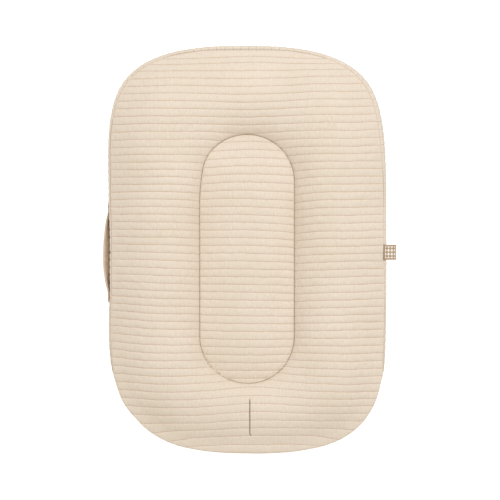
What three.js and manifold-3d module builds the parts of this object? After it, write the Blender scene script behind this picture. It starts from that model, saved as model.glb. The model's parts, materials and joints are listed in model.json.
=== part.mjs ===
// Infant lounger: a foam wedge and a padded ring round a sunken seat, in a quilted cover that zips off.
// Millimetres. X is across, Y towards the head, Z up. The origin is the middle of the underside.

import * as THREE from 'three';
import { mergeVertices } from 'three/addons/utils/BufferGeometryUtils.js';
import Module from 'manifold-3d';

const wasm = await Module();
wasm.setup();

// Outline, seen from above: one superellipse for the head half and one for the foot half
const loungerLength = 800;
const loungerWidth = 545;
const headPowerShares = { across: 2.53, along: 6.47 };
const footPowerShares = { across: 2.93, along: 4.62 };

// Clearances and overruns
const gap = 0.3; // between pieces that touch
const overrun = 40; // how far a cutting solid runs past what it cuts
const mergeDistance = 0.001;

// Levels: the foam wedge gives the slope, and both seams run parallel to it
const coreHeightFoot = 30;
const coreRise = 60; // how much higher the wedge is at the head
const rimRise = 25; // top seam above the wedge
const seatRise = 24; // seat seam above the wedge
const ringCrownFoot = 38; // the ring's padding above its seams
const ringCrownHead = 45;
const seatCrown = 12;
const middleStripHalf = 20; // the ring's columns close up to this beyond the seat's ends

// Seat: a stadium with half-round ends
const seatLength = 487.5;
const seatWidth = 187;
const seatPlaceY = -17.7;

// Quilted cover
const panelThickness = 7;
const seamThickness = 3;
const seamTaper = 18; // how far from a seam the wadding reaches its full thickness
const ringChannelPitch = 15.3;
const seatChannelPitch = 15.7;
const channelDepth = 2.4;

// Side band
const bandThickness = 7;
const bandChannelDepth = 1.6;
const bandChannelPitch = 15.1;
const bandTopInsetHead = 8; // how far the top seam lies inside the band's bulge
const bandTopInsetFoot = 0.5;
const bandBottomInset = 6;
const bandSeamY = -5.5; // the band's two lengths meet here, on both sides

// Underside and inner sheets
const basePanelThickness = 5;
const basePanelRound = 3;
const floorSheetThickness = 1.5;
const wellWallThickness = 2;

// Zip across the underside
const zipPlaceY = -235;
const zipHemReach = 7; // from the zip's middle to each hemmed edge
const zipTapeWidth = 11;
const zipTapeThickness = 0.8;
const zipTapeOverlength = 14; // past the stop, at each end
const zipEndInset = 62.5; // from the lounger's greatest width in to each stop
const toothPitch = 4.5;
const toothHeight = 2.8;
const toothOverlap = 0.9; // past the zip's middle
const beadOuter = 2.8; // from the zip's middle to the back of the bead that carries the teeth
const beadInner = 1.3;
const stopLength = 3;
const grooveReach = 16;
const garageThickness = 1.6;

// Zip slider and pull
const sliderLength = 14;
const sliderWidthFront = 10;
const sliderWidthBack = 8.6;
const sliderPlate = 1;
const sliderChannelHeight = 3.6;
const sliderFlangeWidth = 1;
const sliderFlangeHeight = 1;
const sliderCornerRadius = 1.6;
const postLength = 4;
const postWidth = 1.8;
const postFromFront = 1;
const bridgeLength = 6;
const bridgeWidth = 2.4;
const bridgeBar = 0.9;
const bridgeEye = 1.6;
const pullLength = 28;
const pullWidthRoot = 6.4;
const pullWidthTip = 8;
const pullThickness = 1;
const pullBar = 0.9;
const pullEyeLength = 3.9;
const pullSideClearance = 0.4;

// Carrying strap on the left side wall
const strapPlaceY = -5.9;
const strapPlaceZ = 40;
const strapLength = 198;
const strapFreeLength = 167;
const strapHeight = 26;
const strapThickness = 3;
const strapBow = 10;
const gripLength = 90;
const patchLength = 25;
const patchThickness = 1.2;
const patchMargin = 3;
const backingThickness = 1.5;
const backingClearance = 1.05; // the side wall's facets lie a little inside its curve
const backingHeight = 22;
const backingMargin = 4;

// Woven tab in the right seam
const tagPlaceY = -5.4;
const tagWidth = 30;
const tagReach = 25.4;
const tagThickness = 1.6;
const tagSkew = 1.5;

// Facets
const outlineSampleCount = 1440;
const bandCoarseCount = 52;
const seatArcCount = 14;
const bisectionCount = 50;
const strapStepCount = 12;
const patchStepCount = 4;
const cornerArcCount = 3;
const pullArcCount = 6;
const ringColumnShares = [0, 0.16, 0.5, 0.88, 1]; // on each side, from the seat's seam to the rim
const ringCoarseShares = [0, 0.16, 0.5, 1];
const seatColumnShares = [-1, -0.8, -0.4, 0, 0.4, 0.8, 1];
const seatCoarseShares = [-1, -0.75, 0, 0.75, 1];
const facetStepLimit = 8;
const facetTolerance = 1.5; // how far a straight facet may lie from its curve

// Shares that shape the padding
const crownPlaceShare = 0.6; // the ring is highest nearer the seat than the rim
const crownFullnessShare = 0.72;
const seatFullnessShare = 2.2;
const bandMidShare = 0.5;

const halfLength = loungerLength / 2;
const halfWidth = loungerWidth / 2;
const halfChain = halfWidth - zipEndInset;
const coreHeightHead = coreHeightFoot + coreRise;
const seatRadius = seatWidth / 2;
const seatStraight = (seatLength - seatWidth) / 2;

// Heights
const lerp = THREE.MathUtils.lerp;
const clamp = THREE.MathUtils.clamp;
const alongShare = (y) => (y + halfLength) / loungerLength;
const coreTop = (y) => lerp(coreHeightFoot, coreHeightHead, alongShare(y));
const rimHeight = (y) => coreTop(y) + rimRise;
const seatSeamHeight = (y) => coreTop(y) + seatRise;
const ringCrown = (y) => lerp(ringCrownFoot, ringCrownHead, alongShare(y));
const fillingBottom = (y) => coreTop(y) + 2 * gap + floorSheetThickness;
const bandTopInset = (y) => lerp(bandTopInsetFoot, bandTopInsetHead, clamp(alongShare(y), 0, 1));

// Outline

const powersAt = (y) => (y >= 0 ? headPowerShares : footPowerShares);

function halfWidthAt(y, inset) {
  const powers = powersAt(y);
  const share = Math.min(1, Math.abs(y) / (halfLength - inset));
  return (halfWidth - inset) * (1 - share ** powers.along) ** (1 / powers.across);
}

function outlinePointAt(angle) {
  const cos = Math.abs(Math.cos(angle));
  const sin = Math.abs(Math.sin(angle));
  const powers = powersAt(Math.sin(angle));
  let low = 0;
  let high = halfLength + halfWidth;
  for (let i = 0; i < bisectionCount; i++) {
    const radius = (low + high) / 2;
    const level = (radius * cos / halfWidth) ** powers.across + (radius * sin / halfLength) ** powers.along;
    if (level > 1) high = radius;
    else low = radius;
  }
  return new THREE.Vector2(low * Math.cos(angle), low * Math.sin(angle));
}

const outlineSamples = Array.from({ length: outlineSampleCount }, (_, i) =>
  outlinePointAt(i / outlineSampleCount * 2 * Math.PI));
const outlineSteps = outlineSamples.map((point, i) =>
  point.distanceTo(outlineSamples[(i + 1) % outlineSampleCount]));
const outlineLength = outlineSteps.reduce((sum, step) => sum + step, 0);

// Points at equal steps round the outline, anticlockwise, each with its outward direction
function outlineStations(count) {
  const stations = [];
  let sample = 0;
  let passed = 0;
  for (let i = 0; i < count; i++) {
    const target = i / count * outlineLength;
    while (passed + outlineSteps[sample] < target) passed += outlineSteps[sample++];
    const from = outlineSamples[sample];
    const to = outlineSamples[(sample + 1) % outlineSampleCount];
    const point = from.clone().lerp(to, (target - passed) / outlineSteps[sample]);
    const outward = new THREE.Vector2(to.y - from.y, from.x - to.x).normalize();
    stations.push({ point, outward });
  }
  return stations;
}

function distanceToOutline(x, y) {
  let least = Infinity;
  for (const sample of outlineSamples) {
    least = Math.min(least, (sample.x - x) ** 2 + (sample.y - y) ** 2);
  }
  return Math.sqrt(least);
}

// Distance outside the seat's seam, negative inside it
function distanceToSeat(x, y) {
  const beyond = Math.max(0, Math.abs(y - seatPlaceY) - seatStraight);
  return Math.hypot(x, beyond) - seatRadius;
}

// Padded surfaces, which rise from both seams of the ring to its crown, and from the seat's seam to its middle
const crownPower = Math.log(1 / 2) / Math.log(crownPlaceShare);

function ringTop(x, y) {
  const outer = Math.max(0, distanceToOutline(x, y) - bandTopInset(y));
  const inner = Math.max(0, distanceToSeat(x, y));
  const share = outer / Math.max(outer + inner, mergeDistance);
  const place = share ** crownPower;
  const hump = (4 * place * (1 - place)) ** crownFullnessShare;
  return lerp(rimHeight(y), seatSeamHeight(y), share) + ringCrown(y) * hump;
}

// From no wadding at the ring's seams to its full thickness
function ringFullness(x, y) {
  const toRim = Math.max(0, distanceToOutline(x, y) - bandTopInset(y));
  const toSeam = Math.min(toRim, Math.max(0, distanceToSeat(x, y)));
  return Math.min(1, toSeam / seamTaper);
}

function seatTop(x, y) {
  const share = clamp(-distanceToSeat(x, y) / seatRadius, 0, 1);
  return seatSeamHeight(y) + seatCrown * (1 - (1 - share) ** seatFullnessShare);
}

const seatFullness = (x, y) => clamp(-distanceToSeat(x, y) / seamTaper, 0, 1);
const thicknessAt = (fullness) => lerp(seamThickness, panelThickness, fullness);

// Solids

function geometryOf(positions, indices) {
  const geometry = new THREE.BufferGeometry();
  geometry.setAttribute('position', new THREE.Float32BufferAttribute(positions, 3));
  geometry.setIndex(indices);
  return geometry;
}

function solidOf(geometry) {
  const bare = geometry.clone();
  bare.deleteAttribute('normal');
  bare.deleteAttribute('uv');
  const merged = mergeVertices(bare, mergeDistance);
  const corners = merged.index.array;
  const triangles = [];
  for (let i = 0; i < corners.length; i += 3) {
    const [a, b, c] = corners.slice(i, i + 3);
    if (a !== b && b !== c && c !== a) triangles.push(a, b, c);
  }
  return new wasm.Manifold(new wasm.Mesh({
    numProp: 3,
    vertProperties: new Float32Array(merged.attributes.position.array),
    triVerts: new Uint32Array(triangles),
  }));
}

function meshGeometry(solid) {
  const { vertProperties, triVerts } = solid.getMesh();
  const geometry = geometryOf(Array.from(vertProperties), Array.from(triVerts));
  geometry.computeVertexNormals();
  return geometry;
}

const quad = (a, b, c, d) => [a, b, c, a, c, d];

// A block between two height fields, over rows along Y. At a pinched point a row shares the point of the row
// before it, so that a puff between two channels closes there.
function heightSolid(rows, columns, acrossAt, topAt, bottomAt, pinched = () => false) {
  const positions = [];
  const across = columns.length;
  const layer = rows.length * across;
  for (const heightAt of [bottomAt, topAt]) {
    rows.forEach((row, j) => {
      for (const column of columns) {
        const pinch = pinched(column, row.y);
        const from = pinch && !row.valley && j > 0 ? rows[j - 1] : row;
        const x = acrossAt(column, from.y);
        positions.push(x, from.y, heightAt(x, from.y, row.valley));
      }
    });
  }
  const bottom = (j, k) => j * across + k;
  const top = (j, k) => layer + bottom(j, k);
  const indices = [];
  for (let j = 0; j + 1 < rows.length; j++) {
    for (let k = 0; k + 1 < across; k++) {
      indices.push(...quad(top(j, k), top(j, k + 1), top(j + 1, k + 1), top(j + 1, k)));
      indices.push(...quad(bottom(j, k), bottom(j + 1, k), bottom(j + 1, k + 1), bottom(j, k + 1)));
    }
    const last = across - 1;
    indices.push(...quad(bottom(j, last), bottom(j + 1, last), top(j + 1, last), top(j, last)));
    indices.push(...quad(bottom(j + 1, 0), bottom(j, 0), top(j, 0), top(j + 1, 0)));
  }
  for (let k = 0; k + 1 < across; k++) {
    const end = rows.length - 1;
    indices.push(...quad(bottom(0, k), bottom(0, k + 1), top(0, k + 1), top(0, k)));
    indices.push(...quad(bottom(end, k + 1), bottom(end, k), top(end, k), top(end, k + 1)));
  }
  return solidOf(geometryOf(positions, indices));
}

// A closed loft through rings of points, with a flat cap at each end
function loftSolid(rings) {
  const count = rings[0].length;
  const positions = [];
  for (const ring of rings) {
    for (const point of ring) positions.push(point.x, point.y, point.z);
  }
  const capMiddles = [rings[0], rings[rings.length - 1]].map((ring) => {
    const middle = new THREE.Vector3();
    for (const point of ring) middle.addScaledVector(point, 1 / count);
    positions.push(middle.x, middle.y, middle.z);
    return positions.length / 3 - 1;
  });
  const indices = [];
  for (let i = 0; i < count; i++) {
    const next = (i + 1) % count;
    for (let k = 0; k + 1 < rings.length; k++) {
      const low = k * count;
      const high = low + count;
      indices.push(...quad(low + i, low + next, high + next, high + i));
    }
    const topRing = (rings.length - 1) * count;
    indices.push(capMiddles[0], next, i);
    indices.push(capMiddles[1], topRing + i, topRing + next);
  }
  return solidOf(geometryOf(positions, indices));
}

function outlineRing(stations, insetAt, heightAt, reliefAt = () => 0) {
  return stations.map(({ point, outward }, i) => {
    const place = point.clone().addScaledVector(outward, -insetAt(point.y) - reliefAt(i));
    return new THREE.Vector3(place.x, place.y, heightAt(place.y));
  });
}

// A box given by its lowest and highest corner
function boxSolid(low, high) {
  const size = new THREE.Vector3().subVectors(high, low);
  const geometry = new THREE.BoxGeometry(size.x, size.y, size.z);
  geometry.translate((low.x + high.x) / 2, (low.y + high.y) / 2, (low.z + high.z) / 2);
  return solidOf(geometry);
}

const corner = (x, y, z) => new THREE.Vector3(x, y, z);

// The space between two planes parallel to the wedge's top, or between the ground and one of them
function slopedSlab(bottomAt, topAt) {
  const reach = halfLength + overrun;
  const half = halfWidth + overrun;
  const ends = [{ y: -reach }, { y: reach }];
  return heightSolid(ends, [-half, half], (x) => x, (x, y) => topAt(y), (x, y) => bottomAt(y));
}

function seatOutline(radius) {
  const shape = new THREE.Shape();
  shape.absarc(0, seatPlaceY + seatStraight, radius, 0, Math.PI, false);
  shape.absarc(0, seatPlaceY - seatStraight, radius, Math.PI, 2 * Math.PI, false);
  shape.closePath();
  return shape;
}

// The seat's stadium as an upright block of the given radius, tall enough to cut the whole lounger
function seatBlock(radius) {
  const depth = coreHeightHead + rimRise + ringCrownHead + 2 * overrun;
  const options = { depth, bevelEnabled: false, curveSegments: seatArcCount };
  return solidOf(new THREE.ExtrudeGeometry(seatOutline(radius), options).translate(0, 0, -overrun));
}

function seatHalfWidthAt(y, radius) {
  const beyond = Math.max(0, Math.abs(y - seatPlaceY) - seatStraight);
  return Math.sqrt(Math.max(0, radius ** 2 - beyond ** 2));
}

// Rows at the crests and valleys of channels sewn across
function channelRows(low, high, pitch) {
  const channels = Math.round((high - low) / pitch);
  const step = (high - low) / channels / 2;
  return Array.from({ length: 2 * channels + 1 }, (_, i) => ({ y: low + i * step, valley: i % 2 === 1 }));
}

// Moves the row nearest to a place onto it, and keeps that row and those beside it as ends of facets
function snapRow(rows, place) {
  const distances = rows.map((row) => Math.abs(row.y - place));
  const nearest = distances.indexOf(Math.min(...distances));
  rows[nearest].y = place;
  for (const row of rows.slice(nearest - 1, nearest + 2)) row.crease = true;
}

// The fewest rows between which straight facets stay true to every given curve of y
function facetRows(rows, curves) {
  const facets = [rows[0]];
  let from = 0;
  for (let to = 1; to < rows.length; to++) {
    const bends = curves.some((curve) => {
      const start = curve(rows[from].y);
      const end = curve(rows[to].y);
      return rows.slice(from + 1, to).some((row) => {
        const share = (row.y - rows[from].y) / (rows[to].y - rows[from].y);
        return Math.abs(lerp(start, end, share) - curve(row.y)) > facetTolerance;
      });
    });
    if (bends || rows[to - 1].crease || to - from > facetStepLimit) {
      if (to - 1 > from) facets.push(rows[to - 1]);
      from = Math.max(from, to - 1);
    }
  }
  return [...facets, rows[rows.length - 1]];
}

// Straight facets between the facet rows, so that the rows between them share one wall
function facetedHalf(facets, halfAt) {
  return (y) => {
    const after = facets.findIndex((row) => row.y >= y - mergeDistance);
    if (after <= 0) return halfAt(facets[0].y);
    const from = facets[after - 1].y;
    const to = facets[after].y;
    return lerp(halfAt(from), halfAt(to), (y - from) / (to - from));
  };
}

// The ring's padding and cover
const ringSeamRadius = seatRadius + gap / 2;
const seatEnd = (side, radius) => seatPlaceY + side * (seatStraight + radius);
const ringEnd = (y) => Math.sign(y) * (halfLength - bandTopInset(Math.sign(y) * halfLength) - gap);
const ringRows = channelRows(ringEnd(-1), ringEnd(1), ringChannelPitch);
for (const side of [-1, 1]) snapRow(ringRows, seatEnd(side, seatRadius));
const ringEdge = (y) => halfWidthAt(y, bandTopInset(y));
const ringInnerEdge = (y) => Math.max(middleStripHalf, seatHalfWidthAt(y, ringSeamRadius));
const ringFacets = facetRows(ringRows, [ringEdge, ringInnerEdge]);
const ringHalf = facetedHalf(ringFacets, ringEdge);
const ringInnerHalf = facetedHalf(ringFacets, ringInnerEdge);
const bothSides = (shares) => [-1, 1].flatMap((side) => {
  const columns = shares.map((share) => ({ side, share }));
  return side < 0 ? columns.reverse() : columns;
});
const ringColumns = bothSides(ringColumnShares);
const ringAcross = ({ side, share }, y) => side * lerp(ringInnerHalf(y), ringHalf(y), share);
const besideSeat = (y) => Math.abs(y - seatPlaceY) < seatStraight;
const atRingSeam = ({ share }, y) => share === 1 || (share === 0 && besideSeat(y));

const nearestEdge = (x, y) => {
  const end = clamp(y, ringRows[0].y, ringRows[ringRows.length - 1].y);
  return [clamp(x, -ringHalf(end), ringHalf(end)), end];
};

const ringUnderside = (x, y) => {
  const [edgeX, edgeY] = nearestEdge(x, y);
  return ringTop(edgeX, edgeY) - thicknessAt(ringFullness(edgeX, edgeY));
};

// The space under the ring's cover, run on past the rim so that it cuts right through
function ringPadding(clearance, bottomAt) {
  const first = { y: ringRows[0].y - overrun };
  const last = { y: ringRows[ringRows.length - 1].y + overrun };
  const outer = 1 + overrun / seatRadius;
  return heightSolid([first, ...ringFacets, last], bothSides([...ringCoarseShares, outer]), ringAcross,
    (x, y) => ringUnderside(x, y) - clearance,
    (x, y) => bottomAt(y));
}

function makeRingPanel() {
  const whole = heightSolid(ringRows, ringColumns, ringAcross,
    (x, y, valley) => ringTop(x, y) - (valley ? channelDepth * ringFullness(x, y) : 0),
    () => 0,
    atRingSeam);
  return whole.subtract(ringPadding(0, () => -overrun)).subtract(seatBlock(ringSeamRadius));
}

function makeRingBolster() {
  return ringPadding(gap, fillingBottom).intersect(insideCover(gap))
    .subtract(seatBlock(seatRadius + wellWallThickness / 2 + gap)).subtract(makeBackingPocket());
}

// The seat's cushion and cover
const seatPanelRadius = seatRadius - gap / 2;
const seatRows = channelRows(seatEnd(-1, seatPanelRadius - gap), seatEnd(1, seatPanelRadius - gap), seatChannelPitch);
const seatPanelEdge = (y) => seatHalfWidthAt(y, seatPanelRadius);
const seatFacets = facetRows(seatRows, [seatPanelEdge]);

function seatPadding(radius, clearance) {
  const halfAt = (y) => Math.max(gap, seatHalfWidthAt(y, radius));
  return heightSolid(seatFacets, seatCoarseShares, (share, y) => share * halfAt(y),
    (x, y) => seatTop(x, y) - thicknessAt(seatFullness(x, y)) - clearance,
    (x, y) => fillingBottom(y));
}

function makeSeatPanel() {
  const halfAt = facetedHalf(seatFacets, seatPanelEdge);
  const whole = heightSolid(seatRows, seatColumnShares, (share, y) => share * halfAt(y),
    (x, y, valley) => seatTop(x, y) - (valley ? channelDepth * seatFullness(x, y) : 0),
    (x, y) => seatSeamHeight(y) - seamThickness,
    (share) => Math.abs(share) === 1);
  return whole.subtract(seatPadding(seatPanelRadius - seamThickness, 0));
}

function makeSeatCushion() {
  return seatPadding(seatPanelRadius - seamThickness - gap, gap)
    .intersect(seatBlock(seatRadius - wellWallThickness / 2 - gap));
}

// Inner wall round the seat's filling, and the sheet under both fillings
function makeSeatWellWall() {
  const wall = seatBlock(seatRadius + wellWallThickness / 2).subtract(seatBlock(seatRadius - wellWallThickness / 2));
  return wall.intersect(slopedSlab(fillingBottom, (y) => seatSeamHeight(y) - seamThickness - gap));
}

function makeFloorSheet() {
  const sheet = slopedSlab((y) => coreTop(y) + gap, (y) => coreTop(y) + gap + floorSheetThickness);
  return insideCover(gap).intersect(sheet).subtract(makeBackingPocket());
}

// Side band, in two lengths, with upright channels
const bandBottom = basePanelThickness + gap;
const bandTop = (y) => rimHeight(y) - seamThickness - gap;
const bandMiddle = (y) => lerp(bandBottom, bandTop(y), bandMidShare);
const coarseStations = outlineStations(bandCoarseCount);

// The space inside the band, less a clearance, from its bottom edge or a little below that
function insideCover(clearance, below = 0) {
  return loftSolid([
    outlineRing(coarseStations, () => bandBottomInset + seamThickness + clearance, () => bandBottom - below),
    outlineRing(coarseStations, () => bandThickness + clearance, bandMiddle),
    outlineRing(coarseStations, (y) => bandTopInset(y) + seamThickness + clearance, bandTop),
    outlineRing(coarseStations, (y) => bandTopInset(y) + seamThickness + clearance, (y) => rimHeight(y) + ringCrown(y)),
  ]);
}

function makeBand() {
  const channels = Math.round(outlineLength / bandChannelPitch);
  const stations = outlineStations(2 * channels);
  const valley = (i) => (i % 2 === 1 ? bandChannelDepth : 0);
  const whole = loftSolid([
    outlineRing(stations, () => bandBottomInset, () => bandBottom),
    outlineRing(stations, () => 0, bandMiddle, valley),
    outlineRing(stations, bandTopInset, bandTop),
  ]);
  return whole.subtract(insideCover(0, gap));
}

function halfSpace(side, y) {
  const far = side * (halfLength + overrun);
  const top = rimHeight(halfLength) + ringCrownHead + overrun;
  return boxSolid(
    corner(-halfWidth - overrun, Math.min(y, far), -overrun),
    corner(halfWidth + overrun, Math.max(y, far), top));
}

const bandHalf = (side) => makeBand().intersect(halfSpace(side, bandSeamY + side * gap / 2));

// Foam wedge, with a groove for the zip and a pocket for the handle's backing
const tapeBottom = basePanelThickness + gap;
const tapeMiddle = tapeBottom + zipTapeThickness / 2;
const zipGrooveTop = tapeMiddle + sliderChannelHeight / 2 + sliderPlate + 2 * gap;

function makeBaseCore() {
  const block = insideCover(gap).intersect(slopedSlab(() => bandBottom, coreTop));
  const groove = boxSolid(
    corner(-halfWidth, zipPlaceY - grooveReach, 0),
    corner(halfWidth, zipPlaceY + grooveReach, zipGrooveTop));
  return block.subtract(groove).subtract(makeBackingPocket());
}

// Underside of the cover, in two halves that end in hems beside the zip
function basePanelHalf(side) {
  const plate = loftSolid([
    outlineRing(coarseStations, () => bandBottomInset + basePanelRound, () => 0),
    outlineRing(coarseStations, () => bandBottomInset, () => basePanelRound),
    outlineRing(coarseStations, () => bandBottomInset, () => basePanelThickness),
  ]);
  return plate.intersect(halfSpace(side, zipPlaceY + side * zipHemReach));
}

// Zip

function makeZipTape(side) {
  const near = zipPlaceY + side * (beadOuter + gap);
  const far = near + side * zipTapeWidth;
  const reach = halfChain + stopLength + zipTapeOverlength;
  return boxSolid(
    corner(-reach, Math.min(near, far), tapeBottom),
    corner(reach, Math.max(near, far), tapeBottom + zipTapeThickness));
}

// A bead along the tape's edge with its teeth, which reach past the middle between the other side's
function makeZipTeeth(side) {
  const start = -halfChain + gap;
  const end = sliderPlaceX + sliderLength / 2 - postFromFront - postLength - gap;
  const count = Math.floor((end - start - toothPitch / 2) / toothPitch);
  const tooth = toothPitch / 2 - gap;
  const shift = side > 0 ? 0 : toothPitch / 2;
  const shape = new THREE.Shape();
  shape.moveTo(start, beadOuter);
  shape.lineTo(start, beadInner);
  for (let i = 0; i < count; i++) {
    const x = start + shift + i * toothPitch + gap;
    shape.lineTo(x, beadInner);
    shape.lineTo(x, -toothOverlap);
    shape.lineTo(x + tooth, -toothOverlap);
    shape.lineTo(x + tooth, beadInner);
  }
  shape.lineTo(end, beadInner);
  shape.lineTo(end, beadOuter);
  const geometry = new THREE.ExtrudeGeometry(shape, { depth: toothHeight, bevelEnabled: false });
  geometry.translate(0, 0, -toothHeight / 2);
  if (side < 0) geometry.rotateX(Math.PI);
  return solidOf(geometry.translate(0, zipPlaceY, tapeMiddle));
}

function makeZipStop(side) {
  const near = side * halfChain;
  const far = near + side * stopLength;
  return boxSolid(
    corner(Math.min(near, far), zipPlaceY - beadOuter, tapeMiddle - toothHeight / 2),
    corner(Math.max(near, far), zipPlaceY + beadOuter, tapeMiddle + toothHeight / 2));
}

// The small flap that closes the underside between the hems, from the zip's end to the rim
function makeGarage(side) {
  const near = side * (halfChain + stopLength + gap);
  const top = basePanelThickness;
  const strip = boxSolid(
    corner(Math.min(near, side * halfWidth), zipPlaceY - zipHemReach + gap, top - garageThickness),
    corner(Math.max(near, side * halfWidth), zipPlaceY + zipHemReach - gap, top));
  return strip.intersect(loftSolid([
    outlineRing(coarseStations, () => bandBottomInset, () => 0),
    outlineRing(coarseStations, () => bandBottomInset, () => basePanelThickness),
  ]));
}

const sliderPlaceX = halfChain - gap - sliderLength / 2;
const sliderPlace = corner(sliderPlaceX, zipPlaceY, 0);
const sliderChannelLow = tapeMiddle - sliderChannelHeight / 2;
const sliderBottom = sliderChannelLow - sliderPlate;
const pullAxisZ = sliderBottom - bridgeEye / 2;

function sliderOutline() {
  const front = sliderLength / 2;
  const shape = new THREE.Shape();
  shape.moveTo(-front, -sliderWidthBack / 2 + sliderCornerRadius);
  shape.quadraticCurveTo(-front, -sliderWidthBack / 2, -front + sliderCornerRadius, -sliderWidthBack / 2);
  shape.lineTo(front - sliderCornerRadius, -sliderWidthFront / 2);
  shape.quadraticCurveTo(front, -sliderWidthFront / 2, front, -sliderWidthFront / 2 + sliderCornerRadius);
  shape.lineTo(front, sliderWidthFront / 2 - sliderCornerRadius);
  shape.quadraticCurveTo(front, sliderWidthFront / 2, front - sliderCornerRadius, sliderWidthFront / 2);
  shape.lineTo(-front + sliderCornerRadius, sliderWidthBack / 2);
  shape.quadraticCurveTo(-front, sliderWidthBack / 2, -front, sliderWidthBack / 2 - sliderCornerRadius);
  return shape;
}

const extrudeSteps = { bevelEnabled: false, curveSegments: cornerArcCount };

// Two plates with flanges that hold the tapes, the post that parts the teeth, and the bridge for the pull
function makeSlider() {
  const outline = sliderOutline();
  const fullHeight = 2 * sliderPlate + sliderChannelHeight;
  const block = solidOf(new THREE.ExtrudeGeometry(outline, { depth: fullHeight, ...extrudeSteps })
    .translate(0, 0, sliderBottom));
  const front = sliderLength / 2 + gap;
  const channelHigh = sliderChannelLow + sliderChannelHeight;
  const channelHalf = sliderWidthBack / 2 - sliderFlangeWidth;
  const slotHalf = sliderWidthFront / 2 + gap;
  const channel = boxSolid(
    corner(-front, -channelHalf, sliderChannelLow), corner(front, channelHalf, channelHigh));
  const slot = boxSolid(
    corner(-front, -slotHalf, sliderChannelLow + sliderFlangeHeight),
    corner(front, slotHalf, channelHigh - sliderFlangeHeight));
  const postFront = sliderLength / 2 - postFromFront;
  const postShape = new THREE.Shape();
  postShape.moveTo(postFront - postLength, 0);
  postShape.lineTo(postFront - postLength / 2, -postWidth / 2);
  postShape.lineTo(postFront, 0);
  postShape.lineTo(postFront - postLength / 2, postWidth / 2);
  const post = solidOf(new THREE.ExtrudeGeometry(postShape, { depth: fullHeight, ...extrudeSteps })
    .translate(0, 0, sliderBottom));
  const bridgeHalf = bridgeLength / 2;
  const bridge = boxSolid(
    corner(-bridgeHalf, -bridgeWidth / 2, sliderBottom - bridgeEye - bridgeBar),
    corner(bridgeHalf, bridgeWidth / 2, sliderBottom + sliderPlate / 2));
  const eye = boxSolid(
    corner(-bridgeHalf + bridgeBar, -bridgeWidth, sliderBottom - bridgeEye),
    corner(bridgeHalf - bridgeBar, bridgeWidth, sliderBottom));
  return block.subtract(channel).subtract(slot).add(post).add(bridge.subtract(eye));
}

// A flat tab whose bar runs through the bridge
function makePull() {
  const eyeHalf = bridgeWidth / 2 + pullSideClearance;
  const shape = new THREE.Shape();
  shape.moveTo(pullBar / 2, -pullWidthRoot / 2);
  shape.lineTo(pullBar / 2, pullWidthRoot / 2);
  shape.lineTo(-pullLength + pullWidthTip / 2, pullWidthTip / 2);
  shape.quadraticCurveTo(-pullLength, pullWidthTip / 2, -pullLength, 0);
  shape.quadraticCurveTo(-pullLength, -pullWidthTip / 2, -pullLength + pullWidthTip / 2, -pullWidthTip / 2);
  const hole = new THREE.Path();
  hole.moveTo(-pullBar / 2, -eyeHalf);
  hole.lineTo(-pullBar / 2, eyeHalf);
  hole.lineTo(-pullEyeLength, eyeHalf);
  hole.lineTo(-pullEyeLength, -eyeHalf);
  shape.holes.push(hole);
  const options = { depth: pullThickness, bevelEnabled: false, curveSegments: pullArcCount };
  const geometry = new THREE.ExtrudeGeometry(shape, options);
  return solidOf(geometry.translate(0, 0, pullAxisZ - pullThickness / 2));
}

// Handle
const strapInner = (along) => {
  const share = Math.min(1, Math.abs(along) / (strapFreeLength / 2));
  return halfWidth + gap + strapBow * (1 + Math.cos(Math.PI * share)) / 2;
};

// A length of the strap between two places along it, bowed out from the wall
function makeStrap(from, to) {
  const section = (along, out) => {
    const x = -strapInner(along) - out;
    const y = strapPlaceY + along;
    return [strapPlaceZ - strapHeight / 2, strapPlaceZ + strapHeight / 2].map((z) => corner(x, y, z));
  };
  const rings = [];
  for (let i = 0; i <= strapStepCount; i++) {
    const along = lerp(from, to, i / strapStepCount);
    const [innerLow, innerHigh] = section(along, 0);
    const [outerLow, outerHigh] = section(along, strapThickness);
    rings.push([innerLow, outerLow, outerHigh, innerHigh]);
  }
  return loftSolid(rings);
}

function strapEnd(side) {
  const near = side * (gripLength / 2 + gap / 2);
  const far = side * strapLength / 2;
  return makeStrap(Math.min(near, far), Math.max(near, far));
}

function makePatch(side) {
  const outer = strapPlaceY + side * strapLength / 2;
  const inner = outer - side * patchLength;
  const reach = (along) => strapInner(along) + strapThickness + gap;
  const ring = (y) => {
    const x = -reach(y - strapPlaceY);
    const half = strapHeight / 2 + patchMargin;
    return [
      corner(x, y, strapPlaceZ - half),
      corner(x - patchThickness, y, strapPlaceZ - half),
      corner(x - patchThickness, y, strapPlaceZ + half),
      corner(x, y, strapPlaceZ + half),
    ];
  };
  const low = Math.min(inner, outer);
  const steps = Array.from({ length: patchStepCount + 1 }, (_, i) => low + i / patchStepCount * patchLength);
  return loftSolid(steps.map(ring));
}

// A block where the strip behind the side wall lies, with a clearance, run on outwards when it is a pocket
function backingBlock(clearance, outward) {
  const outer = -halfWidth + bandThickness + backingClearance;
  const half = backingHeight / 2 + clearance;
  const reach = strapLength / 2 + backingMargin + clearance;
  return boxSolid(
    corner(outer - outward, strapPlaceY - reach, strapPlaceZ - half),
    corner(outer + backingThickness + clearance, strapPlaceY + reach, strapPlaceZ + half));
}

const makeBacking = () => backingBlock(0, 0);
const makeBackingPocket = () => backingBlock(gap, overrun);

// Woven tab

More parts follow.
